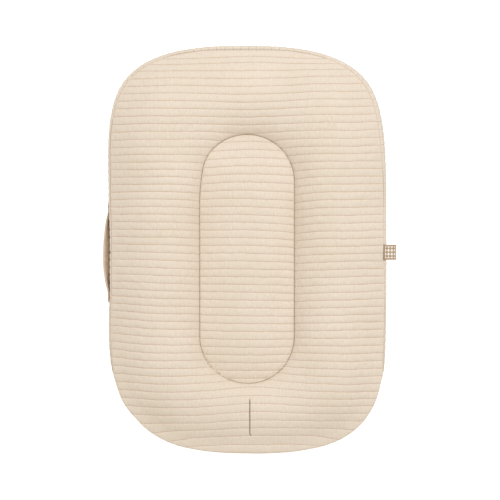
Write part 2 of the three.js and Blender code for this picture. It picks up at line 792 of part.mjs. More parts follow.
function makeTag() {
  const root = halfWidthAt(tagPlaceY, bandTopInset(tagPlaceY)) + gap;
  const tip = root + tagReach;
  const shape = new THREE.Shape();
  shape.moveTo(root, tagPlaceY - tagWidth / 2);
  shape.lineTo(tip + tagSkew / 2, tagPlaceY - tagWidth / 2);
  shape.lineTo(tip - tagSkew / 2, tagPlaceY + tagWidth / 2);
  shape.lineTo(root, tagPlaceY + tagWidth / 2);
  const geometry = new THREE.ExtrudeGeometry(shape, { depth: tagThickness, bevelEnabled: false });
  return solidOf(geometry.translate(0, 0, rimHeight(tagPlaceY) - seamThickness / 2 - tagThickness / 2));
}

// Materials

const finish = (color, roughness, metalness = 0) => new THREE.MeshStandardMaterial({ color, roughness, metalness });
const quiltedJersey = () => finish('#e7d9c6', 0.95);
const lining = () => finish('#efe9df', 0.95);
const foam = () => finish('#f1ead0', 0.9);
const wadding = () => finish('#f7f5f0', 0.95);
const zipTape = () => finish('#dccfba', 0.9);
const nylon = () => finish('#cfc0a8', 0.45);
const zipMetal = () => finish('#b9b4aa', 0.35, 1);
const webbing = () => finish('#e4d6c0', 0.9);
const tanPatch = () => finish('#bd9f80', 0.85);

const pieces = [
  ['ring_panel', makeRingPanel, quiltedJersey],
  ['seat_panel', makeSeatPanel, quiltedJersey],
  ['side_band_head', () => bandHalf(1), quiltedJersey],
  ['side_band_foot', () => bandHalf(-1), quiltedJersey],
  ['base_panel_head', () => basePanelHalf(1), lining],
  ['base_panel_foot', () => basePanelHalf(-1), lining],
  ['ring_bolster', makeRingBolster, wadding],
  ['seat_cushion', makeSeatCushion, wadding],
  ['seat_well_wall', makeSeatWellWall, lining],
  ['filling_floor', makeFloorSheet, lining],
  ['base_core', makeBaseCore, foam],
  ['zip_tape_head', () => makeZipTape(1), zipTape],
  ['zip_tape_foot', () => makeZipTape(-1), zipTape],
  ['zip_teeth_head', () => makeZipTeeth(1), nylon],
  ['zip_teeth_foot', () => makeZipTeeth(-1), nylon],
  ['zip_stop_closed', () => makeZipStop(1), nylon],
  ['zip_stop_open', () => makeZipStop(-1), nylon],
  ['zip_garage_closed', () => makeGarage(1), lining],
  ['zip_garage_open', () => makeGarage(-1), lining],
  ['zip_slider', makeSlider, zipMetal, sliderPlace],
  ['zip_pull', makePull, zipMetal, sliderPlace],
  ['handle_grip', () => makeStrap(-gripLength / 2 + gap / 2, gripLength / 2 - gap / 2), webbing],
  ['handle_end_head', () => strapEnd(1), webbing],
  ['handle_end_foot', () => strapEnd(-1), webbing],
  ['handle_patch_head', () => makePatch(1), tanPatch],
  ['handle_patch_foot', () => makePatch(-1), tanPatch],
  ['handle_backing', makeBacking, lining],
  ['side_tag', makeTag, tanPatch],
];

const lounger = new THREE.Group();
for (const [name, make, material, place] of pieces) {
  const mesh = new THREE.Mesh(meshGeometry(make()), material());
  mesh.name = name;
  if (place) mesh.position.copy(place);
  lounger.add(mesh);
}

export default lounger;
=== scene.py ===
"""Infant lounger: its quilted cover, filling, zip, carrying strap and woven tab, round the frame."""

import json
import math

import bpy
import numpy as np
from bpy.props import FloatProperty, FloatVectorProperty, PointerProperty
from bpy.types import Operator, Panel, PropertyGroup
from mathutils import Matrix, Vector
from mathutils.kdtree import KDTree


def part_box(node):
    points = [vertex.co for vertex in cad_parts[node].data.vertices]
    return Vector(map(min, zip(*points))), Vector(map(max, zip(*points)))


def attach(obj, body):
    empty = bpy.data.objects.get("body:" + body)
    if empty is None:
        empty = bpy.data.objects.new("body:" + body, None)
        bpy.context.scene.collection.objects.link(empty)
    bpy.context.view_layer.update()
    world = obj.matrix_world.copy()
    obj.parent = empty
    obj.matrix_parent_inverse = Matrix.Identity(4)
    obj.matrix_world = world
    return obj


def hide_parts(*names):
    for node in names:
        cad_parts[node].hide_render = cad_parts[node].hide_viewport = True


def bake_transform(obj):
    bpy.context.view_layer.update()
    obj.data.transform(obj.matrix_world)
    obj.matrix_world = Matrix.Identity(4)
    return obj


bl_info = {
    "name": "Infant Lounger",
    "version": (1, 0, 0),
    "blender": (4, 5, 0),
    "location": "3D View > Sidebar > Lounger",
    "description": "Sews the cover of an infant lounger round its frame and sets its stage",
    "category": "Object",
}

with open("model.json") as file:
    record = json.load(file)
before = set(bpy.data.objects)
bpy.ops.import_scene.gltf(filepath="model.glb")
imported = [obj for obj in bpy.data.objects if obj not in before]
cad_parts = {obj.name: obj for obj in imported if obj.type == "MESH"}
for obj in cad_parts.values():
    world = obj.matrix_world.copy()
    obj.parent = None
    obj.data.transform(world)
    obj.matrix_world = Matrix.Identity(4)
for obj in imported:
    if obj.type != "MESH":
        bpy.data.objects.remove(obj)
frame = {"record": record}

MM = 0.001

# Guards against a division by nothing.
TINY = 1e-9
LEAST_AREA = 1e-12

# The lounger's outline and heights, read from the frame's own pieces.
BAND_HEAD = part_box("side_band_head")
BAND_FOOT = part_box("side_band_foot")
HALF_WIDTH = BAND_HEAD[1][0]
HALF_LENGTH = BAND_HEAD[1][1]
BAND_BOTTOM = BAND_HEAD[0][2]
SEAT_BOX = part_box("seat_panel")
SEAT_HALF_WIDTH = SEAT_BOX[1][0]
SEAT_SHIFT = -1.6 * MM
SEAT_MIDDLE = (SEAT_BOX[0][1] + SEAT_BOX[1][1]) / 2 + SEAT_SHIFT
SEAT_STRAIGHT = SEAT_BOX[1][1] - SEAT_MIDDLE - SEAT_HALF_WIDTH
BASE_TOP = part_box("base_panel_head")[1][2]
HEAD_SHAPE = {"across": 2.53, "along": 6.47}
FOOT_SHAPE = {"across": 2.75, "along": 5.1}
OUTLINE_FINENESS = 20
EDGE_POINTS = 3000
BAND_POINTS = 6000

# Heights of the seams above the wedge of foam, which rises from the foot to the head.
CORE_FOOT = 30 * MM
CORE_HEAD = 90 * MM
RIM_RISE = 25 * MM
SEAT_RISE = 24 * MM
CROWN_FOOT = 38 * MM
CROWN_HEAD = 45 * MM
CROWN_PLACE_SHARE = 0.6
END_SLACK = 0.28
END_SLACK_SPAN = (60 * MM, 190 * MM)
CROWN_FULLNESS_SHARE = 0.72
CROWN_FULLNESS_FOOT = 0.98
CROWN_FOOT_SPAN = (250 * MM, 390 * MM)
SEAT_CROWN = 12 * MM
SEAT_FULLNESS_SHARE = 2.2
SEAM_INSET_HEAD = 8 * MM
SEAM_INSET_FOOT = 0.5 * MM
BAND_FOOT_INSET = 6 * MM

# The cover doesn't lie quite straight: its ends lean to the sides, its top has slipped to the left, and the
# seat's left side is drawn in near its head. A span says where such a change begins and where it is full.
HEAD_LEAN = -4.5 * MM
HEAD_LEAN_SPAN = (100 * MM, 235 * MM)
SEAT_LEAN_SPAN = (0, 90 * MM)
FOOT_LEAN = 8.5 * MM
FOOT_LEAN_SPAN = (190 * MM, 395 * MM)
TOP_SLIP = -2.4 * MM
TOP_SLIP_SPAN = (20 * MM, 110 * MM)
TOP_SLIP_SHARES = (0.5, 0.95)
DRAWN_IN = 3.5 * MM
DRAWN_IN_PLACE = (-93 * MM, 145 * MM)
DRAWN_IN_SIZE = (60 * MM, 30 * MM)

# How far the stuffed sides reach beyond the outline, from the foot to the head, all in millimetres.
SPREAD_RIGHT = (
    (-400, 5), (-392, 4.5), (-380, 3), (-370, 2), (-335, 0.5), (-296, 1.5), (-237, 4), (-170, 2),
    (-100, 1.8), (60, 1.2), (195, 1.8), (262, 0))
SPREAD_LEFT = (
    (-400, 8), (-392, 6), (-380, 2.5), (-370, 1), (-335, -0.5), (-296, 2), (-237, 3), (-160, 1.8),
    (-118, 0.4), (-90, -1.4), (40, -1.5), (90, -1), (130, -1.5), (215, -3), (262, -3), (330, -2), (390, 0))
SPREAD_SHARES = (0.6, 0.97)
LEAST_HALF_WIDTH = 60 * MM

# The ring's sewn lines, numbered from the head: each one's place, how far it bows towards the head in
# the middle, and how far it tilts up on the right.
RING_LINES = (
    (-0.75, 390, 0, 0), (0, 372.7, 6.4, 0), (1, 362.8, 3.6, 1), (2, 351.5, -1.8, 2.2), (3, 337.8, -3.7, 2.6),
    (6, 293, -5.9, 2), (9, 247.3, -3.7, 1.7), (12, 201.8, -5.3, 1), (18, 113.2, -13.8, -0.3),
    (24, 24, -13.8, -1.8), (30, -65.9, -14.7, -2), (36, -156.4, -5.9, -1.6), (42, -248.8, 8.8, -0.5),
    (44, -279.7, 9.6, 0.3), (46, -309.6, 7.6, 1.2), (48, -339.9, 4.6, 2.7), (50, -369.1, 3, 3),
    (51, -381.6, -1.6, 2), (52, -392.2, -1.4, 0), (52.5, -399.5, 0, 0))
RING_FINE_LINES = ((9.8, 11.1), (42.4, 43.7), (47.2, 52.5))
LAST_LINE = 52
LINE_SETTLE = 1.3
LINE_SETTLE_HEAD = 3
LINE_SETTLE_FOOT = 2
BOW_MIDDLE = 12 * MM
BOW_WIDTH = 85 * MM
TILT_REACH = 177 * MM
TILT_LIMIT = 1.3

# How far the lines rise near the sides, in millimetres, over a stretch across and one along.
LEFT_RISE = 6.5
LEFT_RISE_SPAN = (172 * MM, 285 * MM)
LEFT_RISE_LENGTH = (-30, 170)
RIGHT_RISE = 2.6
RIGHT_RISE_SPAN = (185 * MM, 285 * MM)

# The small wander of lines that are guided by hand.
DRIFT = 0.9 * MM
DRIFT_GRAIN = 60 * MM
FINE_DRIFT = 0.45 * MM
FINE_DRIFT_GRAIN = 14 * MM

# The seat's sewn lines in the same way, and how far their left and right ends lie from their middles.
SEAT_LINES = ((-1, 227), (0, 211.6), (9, 68), (14, -7.9), (22, -131.4), (30, -255.5), (31, -272))
SEAT_FINE_LINES = ((-1.3, 0.1), (29.4, 31))
SEAT_LEFT_ENDS = ((-220, 2), (-100, 1.6), (0, 0.4), (70, -0.8), (118, -3.3), (185, -5.5))
SEAT_RIGHT_ENDS = ((-220, 1.2), (-160, -0.6), (-100, -1.6), (0, -4.1), (86, -5.3), (150, -4.3), (185, -3.3))
SEAT_BEND_POWER = 1.8
SEAT_LAST_LINE = 30

# How finely the covers are modelled: points across, and rows in each channel, closest at the stitches.
RING_COLUMNS = 231
SEAT_COLUMNS = 91
CHANNEL_SHARES = (0, 0.04, 0.1, 0.2, 0.36, 0.6, 0.78, 0.9, 0.96)
BAND_SHARES = (0, 0.06, 0.16, 0.32, 0.5, 0.68, 0.84, 0.94)
FINE_STEP = 0.045
RING_FADE_POWER = 30
SEAT_FADE_POWER = 14
MERGE_REACH = 0.2 * MM

# Where columns crowd together: their places as shares of the half width, the widths of the crowds, and how
# close they stand.
CROWD_FINENESS = 4000
RING_CROWDS = ((0.0, 0.343, 1.0), (0.02, 0.03, 0.05), (7.0, 2.2, 3.0))
SEAT_CROWDS = ((1.0,), (0.12,), (3.0,))
UNDER_CROWDS = ((1.0,), (0.06,), (2.0,))
WADDING_CROWDS = ((0.343, 1.0), (0.03, 0.05), (2.0, 2.0))

# How the pieces dive into each other at their seams.
SEAM_OVERLAP = 5 * MM
SEAM_WIDTH = 0.8 * MM
RIM_SEAM_WIDTH = 0.7 * MM
TUCK_DEPTH = 8 * MM
SEAT_TUCK_START = -1 * MM
RIM_TUCK = 0.7 * MM
UNDER_REACH = 9 * MM
BAND_STAND = 0.6 * MM
RIGHT_STAND = 1.6 * MM
RIGHT_STAND_SPAN = (150 * MM, 250 * MM)
HEAD_STAND = 0.8 * MM
HEAD_STAND_SPAN = (200 * MM, 330 * MM)

# How the stuffed ring swells over its seam, most of all at the foot, and how uneven its filling is.
FOOT_OVERHANG = 6.5 * MM
FOOT_SPAN = (130 * MM, 320 * MM)
END_OVERHANG = 1.5 * MM
END_SPAN = (350 * MM, 395 * MM)
OVERHANG_UNEVEN = 0.5 * MM
OVERHANG_GRAIN = 32 * MM
OVERHANG_START = 5 * MM
OVERHANG_FULL = 6 * MM
OVERHANG_FADE = 9 * MM
SIDEWAYS_SPAN = (0.4, 0.8)
SIDEWAYS_LEAST = 0.16
ROLL_RISE = 3.2 * MM
ROLL_WIDTH = 7 * MM
SWELL = 1.8 * MM
SWELL_GRAIN = 130 * MM
SWELL_RIM_FADE = 60 * MM
SWELL_SEAT_FADE = 40 * MM

# How much of the channels' height is left near the seams and at the foot, and how it varies along them.
RIM_PUFF_SHARE = 0.5
RIM_PUFF_REACH = 10 * MM
SEAM_PUFF_SHARE = 0.75
SEAM_PUFF_REACH = 8 * MM
FOOT_PUFF_SHARE = 0.72
FOOT_PUFF_SPAN = (-360 * MM, -200 * MM)
RING_NORMAL_SPAN = (4 * MM, 26 * MM)
SEAT_NORMAL_SPAN = (4 * MM, 20 * MM)
RING_UNEVEN_SHARE = 0.16
RING_UNEVEN_GRAIN = 38 * MM
SEAT_UNEVEN_SHARE = 0.15
SEAT_UNEVEN_GRAIN = 34 * MM
BAND_UNEVEN_SHARE = 0.2
BAND_UNEVEN_GRAIN = 30 * MM

# The small gathers beside the sewn lines, and the longer ones beside the seams.
LINE_PUCKER = 0.3 * MM
LINE_PUCKER_GRAIN = 6 * MM
LINE_PUCKER_STRETCH = 0.4
SEAM_PUCKER = 0.5 * MM
SEAM_PUCKER_GRAIN = 9 * MM
SEAM_PUCKER_REACH = 12 * MM
SEAM_PUCKER_START = 4 * MM

# Painted shade in the seams, as shares: the rim's shows in places and hides in others.
RIM_SHADE_SHARE = 0.48
RIM_LEAST_SHARE = 0.3
RIM_SHOWN_SPAN = (-0.45, 0.35)
RIM_SHOWN_GRAIN = 80 * MM
CAUGHT_SHARE = 0.8
DART_SHADE_SHARE = 0.95
JOIN_SHADE_SHARE = 0.7

# The dart sewn into the foot.
DART_PLACE = 5.4 * MM
DART_WIDTH = 0.9 * MM
DART_DEPTH = 3.2 * MM
DART_FOLD = 2 * MM
DART_HEAD = -292 * MM
DART_FOOT = -367 * MM
DART_JOG = 2 * MM
DART_JOG_LENGTH = 3 * MM
DART_FOOT_SPAN = (-3 * MM, 1 * MM)
DART_HEAD_SPAN = (-1 * MM, 6 * MM)
DART_FOLD_LEFT = 1.6 * MM
DART_FOLD_RIGHT = 7 * MM
DART_BULGE = 1.2 * MM
DART_BULGE_WIDTH = 60 * MM
DART_BULGE_SPAN = (330 * MM, 390 * MM)

# The cloth simulation: a light jersey with a little spare cloth, pressed up by the filling.
CLOTH_SETTINGS = {
    "quality": 4,
    "mass": 0.15,
    "tension_stiffness": 12,
    "compression_stiffness": 12,
    "shear_stiffness": 4,
    "bending_stiffness": 0.02,
    "shrink_min": -0.012,
    "use_pressure": True,
    "uniform_pressure_force": 4,
}
CLOTH_FRAMES = 20
CLOTH_CAP = 1.5 * MM
CLOTH_SHARE = 0.3
EVEN_COLUMNS = 13
COLUMN_STEP = 2
PRESSED_SHARES = (0, 0.14, 0.4, 0.64, 0.88)
HELD_SHARE = 0.06
HELD_REACH = 3 * MM

# The side wall: how it curves, turns under the top at its upper edge and dips where its lengths join.
BAND_ROWS = 31
BAND_OVERLAP = 1.5 * MM
WALL_SQUARENESS = 3.2
FOOT_TUCK = 2.5 * MM
FOOT_TUCK_SPAN = (200 * MM, 330 * MM)
UNDER_TURNS = (1.03, 1.06)
UNDER_DROP = 3 * RIM_TUCK
TUCK_START_SHARE = 0.99
EDGE_PUFF_SHARE = 0.25
JOIN_DIP = 1.5 * MM
JOIN_WIDTH = 2 * MM
BAND_SPREAD_SHARE = 0.4
BAND_LEAN_POWER = 1.6
BAND_SLIP_POWER = 2
BELOW_SEAM = 9 * MM

# The underside, whose cloth rises to the zip's tape.
UNDER_ROWS = 90
UNDER_COLUMNS = 81
UNDER_ZIP_POWER = 1.5
UNDER_EDGE_POWER = 1.6
UNDER_CLOTH = 1.2 * MM
UNDER_ROLL = 9 * MM
UNDER_ROLL_POWER = 1.5
UNDER_ROLL_SHARE = 0.75
RIPPLE = 0.6 * MM
RIPPLE_GRAIN = 30 * MM
RIPPLE_STRETCH = 0.4
RIPPLE_FADE = 30 * MM
VALLEY_FADE = 14 * MM
TAPE_OVERLAP = 1.6 * MM
HEM_WIDTH = 13 * MM
HEM_STITCHES = (2.5 * MM, 9 * MM)
HEM_END = 16 * MM
CLOTH_LINE = 10 * MM

# The zip's tapes and the flaps beyond them.
TAPE_GRID = (121, 9)
FLAP_GRID = (41, 17)
FLAP_FULLNESS = 0.5 * MM
FLAP_FLAT_SHARE = 0.5
FLAP_FLAT_SPAN = (3 * MM, 7 * MM)
TURNED_EDGE = 1.2 * MM
STRIP_GAP = 0.1 * MM
STRIP_THINNER = 0.3 * MM
STRIP_RIPPLE = 0.12 * MM
STRIP_GRAIN = 7 * MM

# The wadding under the covers.
WADDING_COLUMNS = 121
WADDING_ROWS = 161
SEAT_WADDING_COLUMNS = 41
SEAT_WADDING_ROWS = 81
WADDING_DEPTH = 6 * MM
WADDING_INSET = 9 * MM
WADDING_GAP = 3 * MM
CORE_GAP = 2 * MM
RING_FILL_DEPTH = 24 * MM
SEAT_FILL_DEPTH = 14 * MM
LUMPS = 0.8 * MM
LUMP_GRAIN = 22 * MM

# The carrying strap, its patches and their stitches.
STRAP_COLUMNS = 13
STRAP_ROWS = 61
STRAP_THICKNESS = 3.6 * MM
STRAP_WIDTH = 26 * MM
STRAP_END = 4 * MM
STRAP_BOW_POWER = 0.8
STRAP_STAND = 2.6 * MM
STRAP_LIFT = 1.5 * MM
STRAP_WAVE = 0.5 * MM
STRAP_WAVE_GRAIN = 25 * MM
STRAP_WAVE_HEIGHT = 20 * MM
STRAP_EDGE = 0.6 * MM
STRAP_EDGE_ANGLE = 50
STRAP_EDGE_STEPS = 2
STRAP_STITCHES = 3 * MM
STRAP_STITCH_WIDTH = 0.6 * MM
STRAP_TWIST = 8 * MM
BOW_SHIFT = 6.5 * MM
SELVEDGE_SHARE = 0.2
INNER_NORMAL = 0.4
PATCH_COLUMNS = 15
PATCH_ROWS = 17
PATCH_INSET = 2.4 * MM
PATCH_EDGE = 2.4 * MM
PATCH_EDGE_DIP = 1.2 * MM
PATCH_GROOVE = 0.35 * MM
PATCH_GROOVE_WIDTH = 0.7 * MM
PATCH_STITCHES = 3 * MM
PATCH_BACK = 1.5 * MM
STITCH_PITCH = 3.4 * MM
STITCH_HALF_LENGTH = STITCH_PITCH * 0.42
STITCH_HALF_WIDTH = 0.42 * MM
HEM_STITCH_HEIGHT = 0.3 * MM
PATCH_STITCH_HEIGHT = 0.32 * MM
STITCH_LIFT = 0.1 * MM

# The woven tab, a ribbon folded in two. Its fold takes up one part in TAB_FOLD_PARTS of each half.
TAB_COLUMNS = 23
TAB_ROWS = 49
TAB_FOLD_PARTS = 7
TAB_FOLD_RADIUS = 0.7 * MM
TAB_THICKNESS = 0.5 * MM
TAB_DIAMONDS = 4.0
TAB_CUT = 1.2 * MM
TAB_RISE = 3.4 * MM
TAB_CLOSER_SHARE = 0.55
TAB_SAG = 0.9 * MM
TAB_CURL = 0.8 * MM
TAB_SLANT = 0.6 * MM

# Blender's banded wave repeats every 0.314 units at a scale of 1.
WAVE_LENGTH = 0.314

# The stage: a white floor that glows for the camera, a soft box, a plain sky and the camera.
FLOOR_SIZE = 30
FLOOR_DROP = 0.5 * MM
FLOOR_GLOW = 0.75
FLOOR_PAINT = (0.8, 0.8, 0.8)
SOFT_BOX_PLACE = (0.62, 1.45, 4.05)
SOFT_BOX_SIZE = 1.2
KEY_COLOUR = (0.93, 1.0, 1.09)
SKY_COLOUR = (1.035, 0.99, 0.91)
CAMERA_TARGET = (5.9 * MM, -1.0 * MM, 0)
SENSOR_WIDTH = 36
FRAMED_HEIGHT = 0.09
PIXEL_SIZE = 1.9656 * MM
PICTURE_PIXELS = 500

# Each kind of unevenness adds its own number to this seed.
RNG_SEED = 7
NOISE_CELLS = 512
NOISE_START = 200.5


def srgb(code):
    """The linear colour of an sRGB hex value."""
    channels = [int(code[i : i + 2], 16) / 255 for i in (0, 2, 4)]
    return tuple(c / 12.92 if c <= 0.04045 else ((c + 0.055) / 1.055) ** 2.4 for c in channels)


def smooth(low, high, value):
    """Rises from 0 at low to 1 at high with level ends."""
    share = np.clip((value - low) / (high - low), 0, 1)
    return share * share * (3 - 2 * share)


def between(start, end, share):
    """The value that lies that share of the way from start to end."""
    return start + (end - start) * share


def bell(distance, width):
    """1 at no distance, and nothing a few widths away."""
    return np.exp(-((distance / width) ** 2))


def head_share(y):
    """How far a place lies from the foot end, 0, to the head end, 1."""
    return np.clip((y + HALF_LENGTH) / (2 * HALF_LENGTH), 0, 1)


def soft_noise(x, y, grain, seed):
    """Smooth random values from -1 to 1 whose bumps are about one grain wide."""
    lattice = np.random.default_rng(seed).uniform(-1, 1, (NOISE_CELLS, NOISE_CELLS))
    across = np.asarray(x) / grain + NOISE_START
    along = np.asarray(y) / grain + NOISE_START
    column = np.floor(across).astype(int)
    row = np.floor(along).astype(int)
    u = smooth(0, 1, across - column)
    v = smooth(0, 1, along - row)
    column, row = column % (NOISE_CELLS - 1), row % (NOISE_CELLS - 1)
    low = between(lattice[row, column], lattice[row, column + 1], u)
    high = between(lattice[row + 1, column], lattice[row + 1, column + 1], u)
    return between(low, high, v)


# Outline and heights of the cover


def half_width_at(y, inset=0.0):
    """Half the lounger's width at y, on the outline drawn in by inset."""
    length = HALF_LENGTH - inset
    share = np.clip(np.abs(y) / length, 0, 1)
    along = np.where(y > 0, HEAD_SHAPE["along"], FOOT_SHAPE["along"])
    across = np.where(y > 0, HEAD_SHAPE["across"], FOOT_SHAPE["across"])
    return (HALF_WIDTH - inset) * (1 - share**along) ** (1 / across)


def outline_points(count, inset=0.0):
    """Points at even steps along the outline, counterclockwise from the right side's middle."""
    angle = np.linspace(0, 2 * math.pi, OUTLINE_FINENESS * count)
    shape_along = np.where(np.sin(angle) > 0, HEAD_SHAPE["along"], FOOT_SHAPE["along"])
    shape_across = np.where(np.sin(angle) > 0, HEAD_SHAPE["across"], FOOT_SHAPE["across"])
    x = (HALF_WIDTH - inset) * np.sign(np.cos(angle)) * np.abs(np.cos(angle)) ** (2 / shape_across)
    y = (HALF_LENGTH - inset) * np.sign(np.sin(angle)) * np.abs(np.sin(angle)) ** (2 / shape_along)
    walked = np.concatenate([[0], np.cumsum(np.hypot(np.diff(x), np.diff(y)))])
    steps = np.linspace(0, walked[-1], count, endpoint=False)
    return np.interp(steps, walked, x), np.interp(steps, walked, y), steps


def outline_distance(x, y):
    """How far each place lies inside the outline."""
    edge_x, edge_y, _ = outline_points(EDGE_POINTS)
    tree = KDTree(len(edge_x))
    for index, place in enumerate(zip(edge_x, edge_y)):
        tree.insert((*place, 0), index)
    tree.balance()
    flat = zip(np.ravel(x), np.ravel(y))
    return np.array([tree.find((a, b, 0))[2] for a, b in flat]).reshape(np.shape(x))


def seat_distance(x, y):
    """How far each place lies outside the seat's seam, negative inside it."""
    beyond = np.maximum(np.abs(y - SEAT_MIDDLE) - SEAT_STRAIGHT, 0)
    return np.hypot(x, beyond) - SEAT_HALF_WIDTH


def core_top(y):
    return between(CORE_FOOT, CORE_HEAD, head_share(y))


def rim_height(y):
    return core_top(y) + RIM_RISE


def seat_seam_height(y):
    return core_top(y) + SEAT_RISE


def seam_inset(y):
    """How far the seam between top and side wall lies inside the outline."""
    return between(SEAM_INSET_FOOT, SEAM_INSET_HEAD, head_share(y))


def spread(x, y):
    """How far the stuffed sides reach beyond the outline, which differs along each side."""
    right = np.interp(y / MM, *np.array(SPREAD_RIGHT).T)
    left = np.interp(y / MM, *np.array(SPREAD_LEFT).T)
    side = x / np.maximum(half_width_at(y), LEAST_HALF_WIDTH)
    return np.where(x > 0, right, -left) * MM * smooth(*SPREAD_SHARES, np.abs(side))


def top_slip(x, y):
    """How far the top has slipped to the left over its side wall."""
    side = -x / np.maximum(half_width_at(y), LEAST_HALF_WIDTH)
    return TOP_SLIP * smooth(*TOP_SLIP_SPAN, y) * smooth(*TOP_SLIP_SHARES, side)


def lean(x, y):
    """How far the cover has slipped sideways, with the seat's left side drawn in near its head."""
    at_head = smooth(*HEAD_LEAN_SPAN, y) * smooth(*SEAT_LEAN_SPAN, seat_distance(x, y))
    at_foot = smooth(*FOOT_LEAN_SPAN, -y)
    away_x, away_y = x - DRAWN_IN_PLACE[0], y - DRAWN_IN_PLACE[1]
    drawn_in = bell(away_y, DRAWN_IN_SIZE[1]) * bell(away_x, DRAWN_IN_SIZE[0])
    return HEAD_LEAN * at_head + FOOT_LEAN * at_foot + DRAWN_IN * drawn_in


def outward(x, y):
    """The direction straight out from the outline, for a place near it."""
    along = np.where(y > 0, HEAD_SHAPE["along"], FOOT_SHAPE["along"])
    across = np.where(y > 0, HEAD_SHAPE["across"], FOOT_SHAPE["across"])
    out_x = across * np.sign(x) * (np.abs(x) / HALF_WIDTH) ** (across - 1) / HALF_WIDTH
    out_y = along * np.sign(y) * (np.abs(y) / HALF_LENGTH) ** (along - 1) / HALF_LENGTH
    size = np.maximum(np.hypot(out_x, out_y), TINY)
    return out_x / size, out_y / size


def overhang(x, y, at_rim):
    """How far the stuffed ring swells out over its seam, which shows most at the foot."""
    full = FOOT_OVERHANG * smooth(*FOOT_SPAN, -y) + END_OVERHANG * smooth(*END_SPAN, -y)
    full = full + DART_BULGE * bell(x, DART_BULGE_WIDTH) * smooth(*DART_BULGE_SPAN, -y)
    full = full + OVERHANG_UNEVEN * soft_noise(x, y, OVERHANG_GRAIN, RNG_SEED + 6)
    beyond = np.maximum(at_rim - OVERHANG_FULL, 0)
    return full * smooth(0, OVERHANG_START, at_rim) * bell(beyond, OVERHANG_FADE)


def band_stand(x, y):
    """How far the side wall's channels stand out from the outline."""
    right = RIGHT_STAND * smooth(*RIGHT_STAND_SPAN, x)
    head = HEAD_STAND * smooth(*HEAD_STAND_SPAN, y)
    return BAND_STAND + np.maximum(right, head)


def ring_height(x, y, from_edge):
    """The ring's stuffed surface between its seam at the rim and its seam at the seat."""
    outer = np.maximum(from_edge - seam_inset(y), 0)
    inner = np.maximum(seat_distance(x, y), 0)
    share = outer / np.maximum(outer + inner, TINY)
    place = share ** (math.log(0.5) / math.log(CROWN_PLACE_SHARE))
    fullness = between(CROWN_FULLNESS_SHARE, CROWN_FULLNESS_FOOT, smooth(*CROWN_FOOT_SPAN, -y))
    hump = np.clip(4 * place * (1 - place), 0, 1) ** fullness
    crown = between(CROWN_FOOT, CROWN_HEAD, head_share(y))
    beyond = smooth(SEAT_STRAIGHT, SEAT_STRAIGHT + SEAT_HALF_WIDTH, np.abs(y - SEAT_MIDDLE))
    crown = crown * (1 - END_SLACK * beyond * (1 - smooth(*END_SLACK_SPAN, np.abs(x))))
    return between(rim_height(y), seat_seam_height(y), share) + crown * hump


def seat_height(x, y):
    """The seat cushion's crowned surface inside its seam."""
    share = np.clip(-seat_distance(x, y) / SEAT_HALF_WIDTH, 0, 1)
    return seat_seam_height(y) + SEAT_CROWN * (1 - (1 - share) ** SEAT_FULLNESS_SHARE)


# Mesh work shared by the pieces


def deselect():
    """Nothing stays selected, so the next operator acts on its own piece alone."""
    if bpy.context.object and bpy.context.object.mode != "OBJECT":
        bpy.ops.object.mode_set(mode="OBJECT")
    bpy.ops.object.select_all(action="DESELECT")


def take(piece):
    """Makes one piece the selected and active one."""
    deselect()
    piece.select_set(True)
    bpy.context.view_layer.objects.active = piece


def new_grid(name, columns, rows):
    """A grid primitive with that many points each way, and each point's column and row."""
    deselect()
    bpy.ops.mesh.primitive_grid_add(x_subdivisions=columns - 1, y_subdivisions=rows - 1, size=1)
    piece = bpy.context.object
    piece.name = name
    piece.data.name = name
    places = read_points(piece)
    column = np.rint((places[:, 0] + 0.5) * (columns - 1)).astype(int)
    row = np.rint((places[:, 1] + 0.5) * (rows - 1)).astype(int)
    return piece, column, row


def read_points(piece):
    places = np.empty(3 * len(piece.data.vertices))
    piece.data.vertices.foreach_get("co", places)
    return places.reshape(-1, 3)


def write_points(piece, places):
    piece.data.vertices.foreach_set("co", np.ascontiguousarray(places, float).ravel())
    piece.data.update()


def set_cloth(piece, across, line, seam):
    """Notes each point's place on the cloth and the painted shade that darkens it near a seam.

    A place is a distance across in metres and a count of sewn lines along."""
    corners = np.empty(len(piece.data.loops), int)
    piece.data.loops.foreach_get("vertex_index", corners)
    layer = piece.data.uv_layers.active
    layer.name = "cloth"
    layer.data.foreach_set("uv", np.stack([across[corners], line[corners]], 1).ravel())
    mark = piece.data.attributes.new("seam", "FLOAT", "POINT")
    mark.data.foreach_set("value", np.clip(seam, 0, 1).astype(np.float32))


def rim_seam_shade(x, y, at_rim):
    """Painted shade along the seam round the top, which shows in places and hides in others."""
    patches = smooth(*RIM_SHOWN_SPAN, soft_noise(x, y, RIM_SHOWN_GRAIN, RNG_SEED + 60))
    return RIM_SHADE_SHARE * between(RIM_LEAST_SHARE, 1, patches) * bell(at_rim, RIM_SEAM_WIDTH)


def caught(line):
    """How much of a seam's shade shows, which is most where a sewn line runs into it."""
    return between(CAUGHT_SHARE, 1, 1 - puff(line, 3, 1))


def puckers(x, y, line, from_seam, seed):
    """The small gathers of cloth beside each sewn line, and the longer ones beside a seam."""
    beside_line = soft_noise(x, y * LINE_PUCKER_STRETCH, LINE_PUCKER_GRAIN, seed) * (1 - puff(line, 2, 1))
    beside_seam = soft_noise(x, y, SEAM_PUCKER_GRAIN, seed + 40) * np.exp(-from_seam / SEAM_PUCKER_REACH)
    return LINE_PUCKER * beside_line + SEAM_PUCKER * beside_seam * smooth(0, SEAM_PUCKER_START, from_seam)


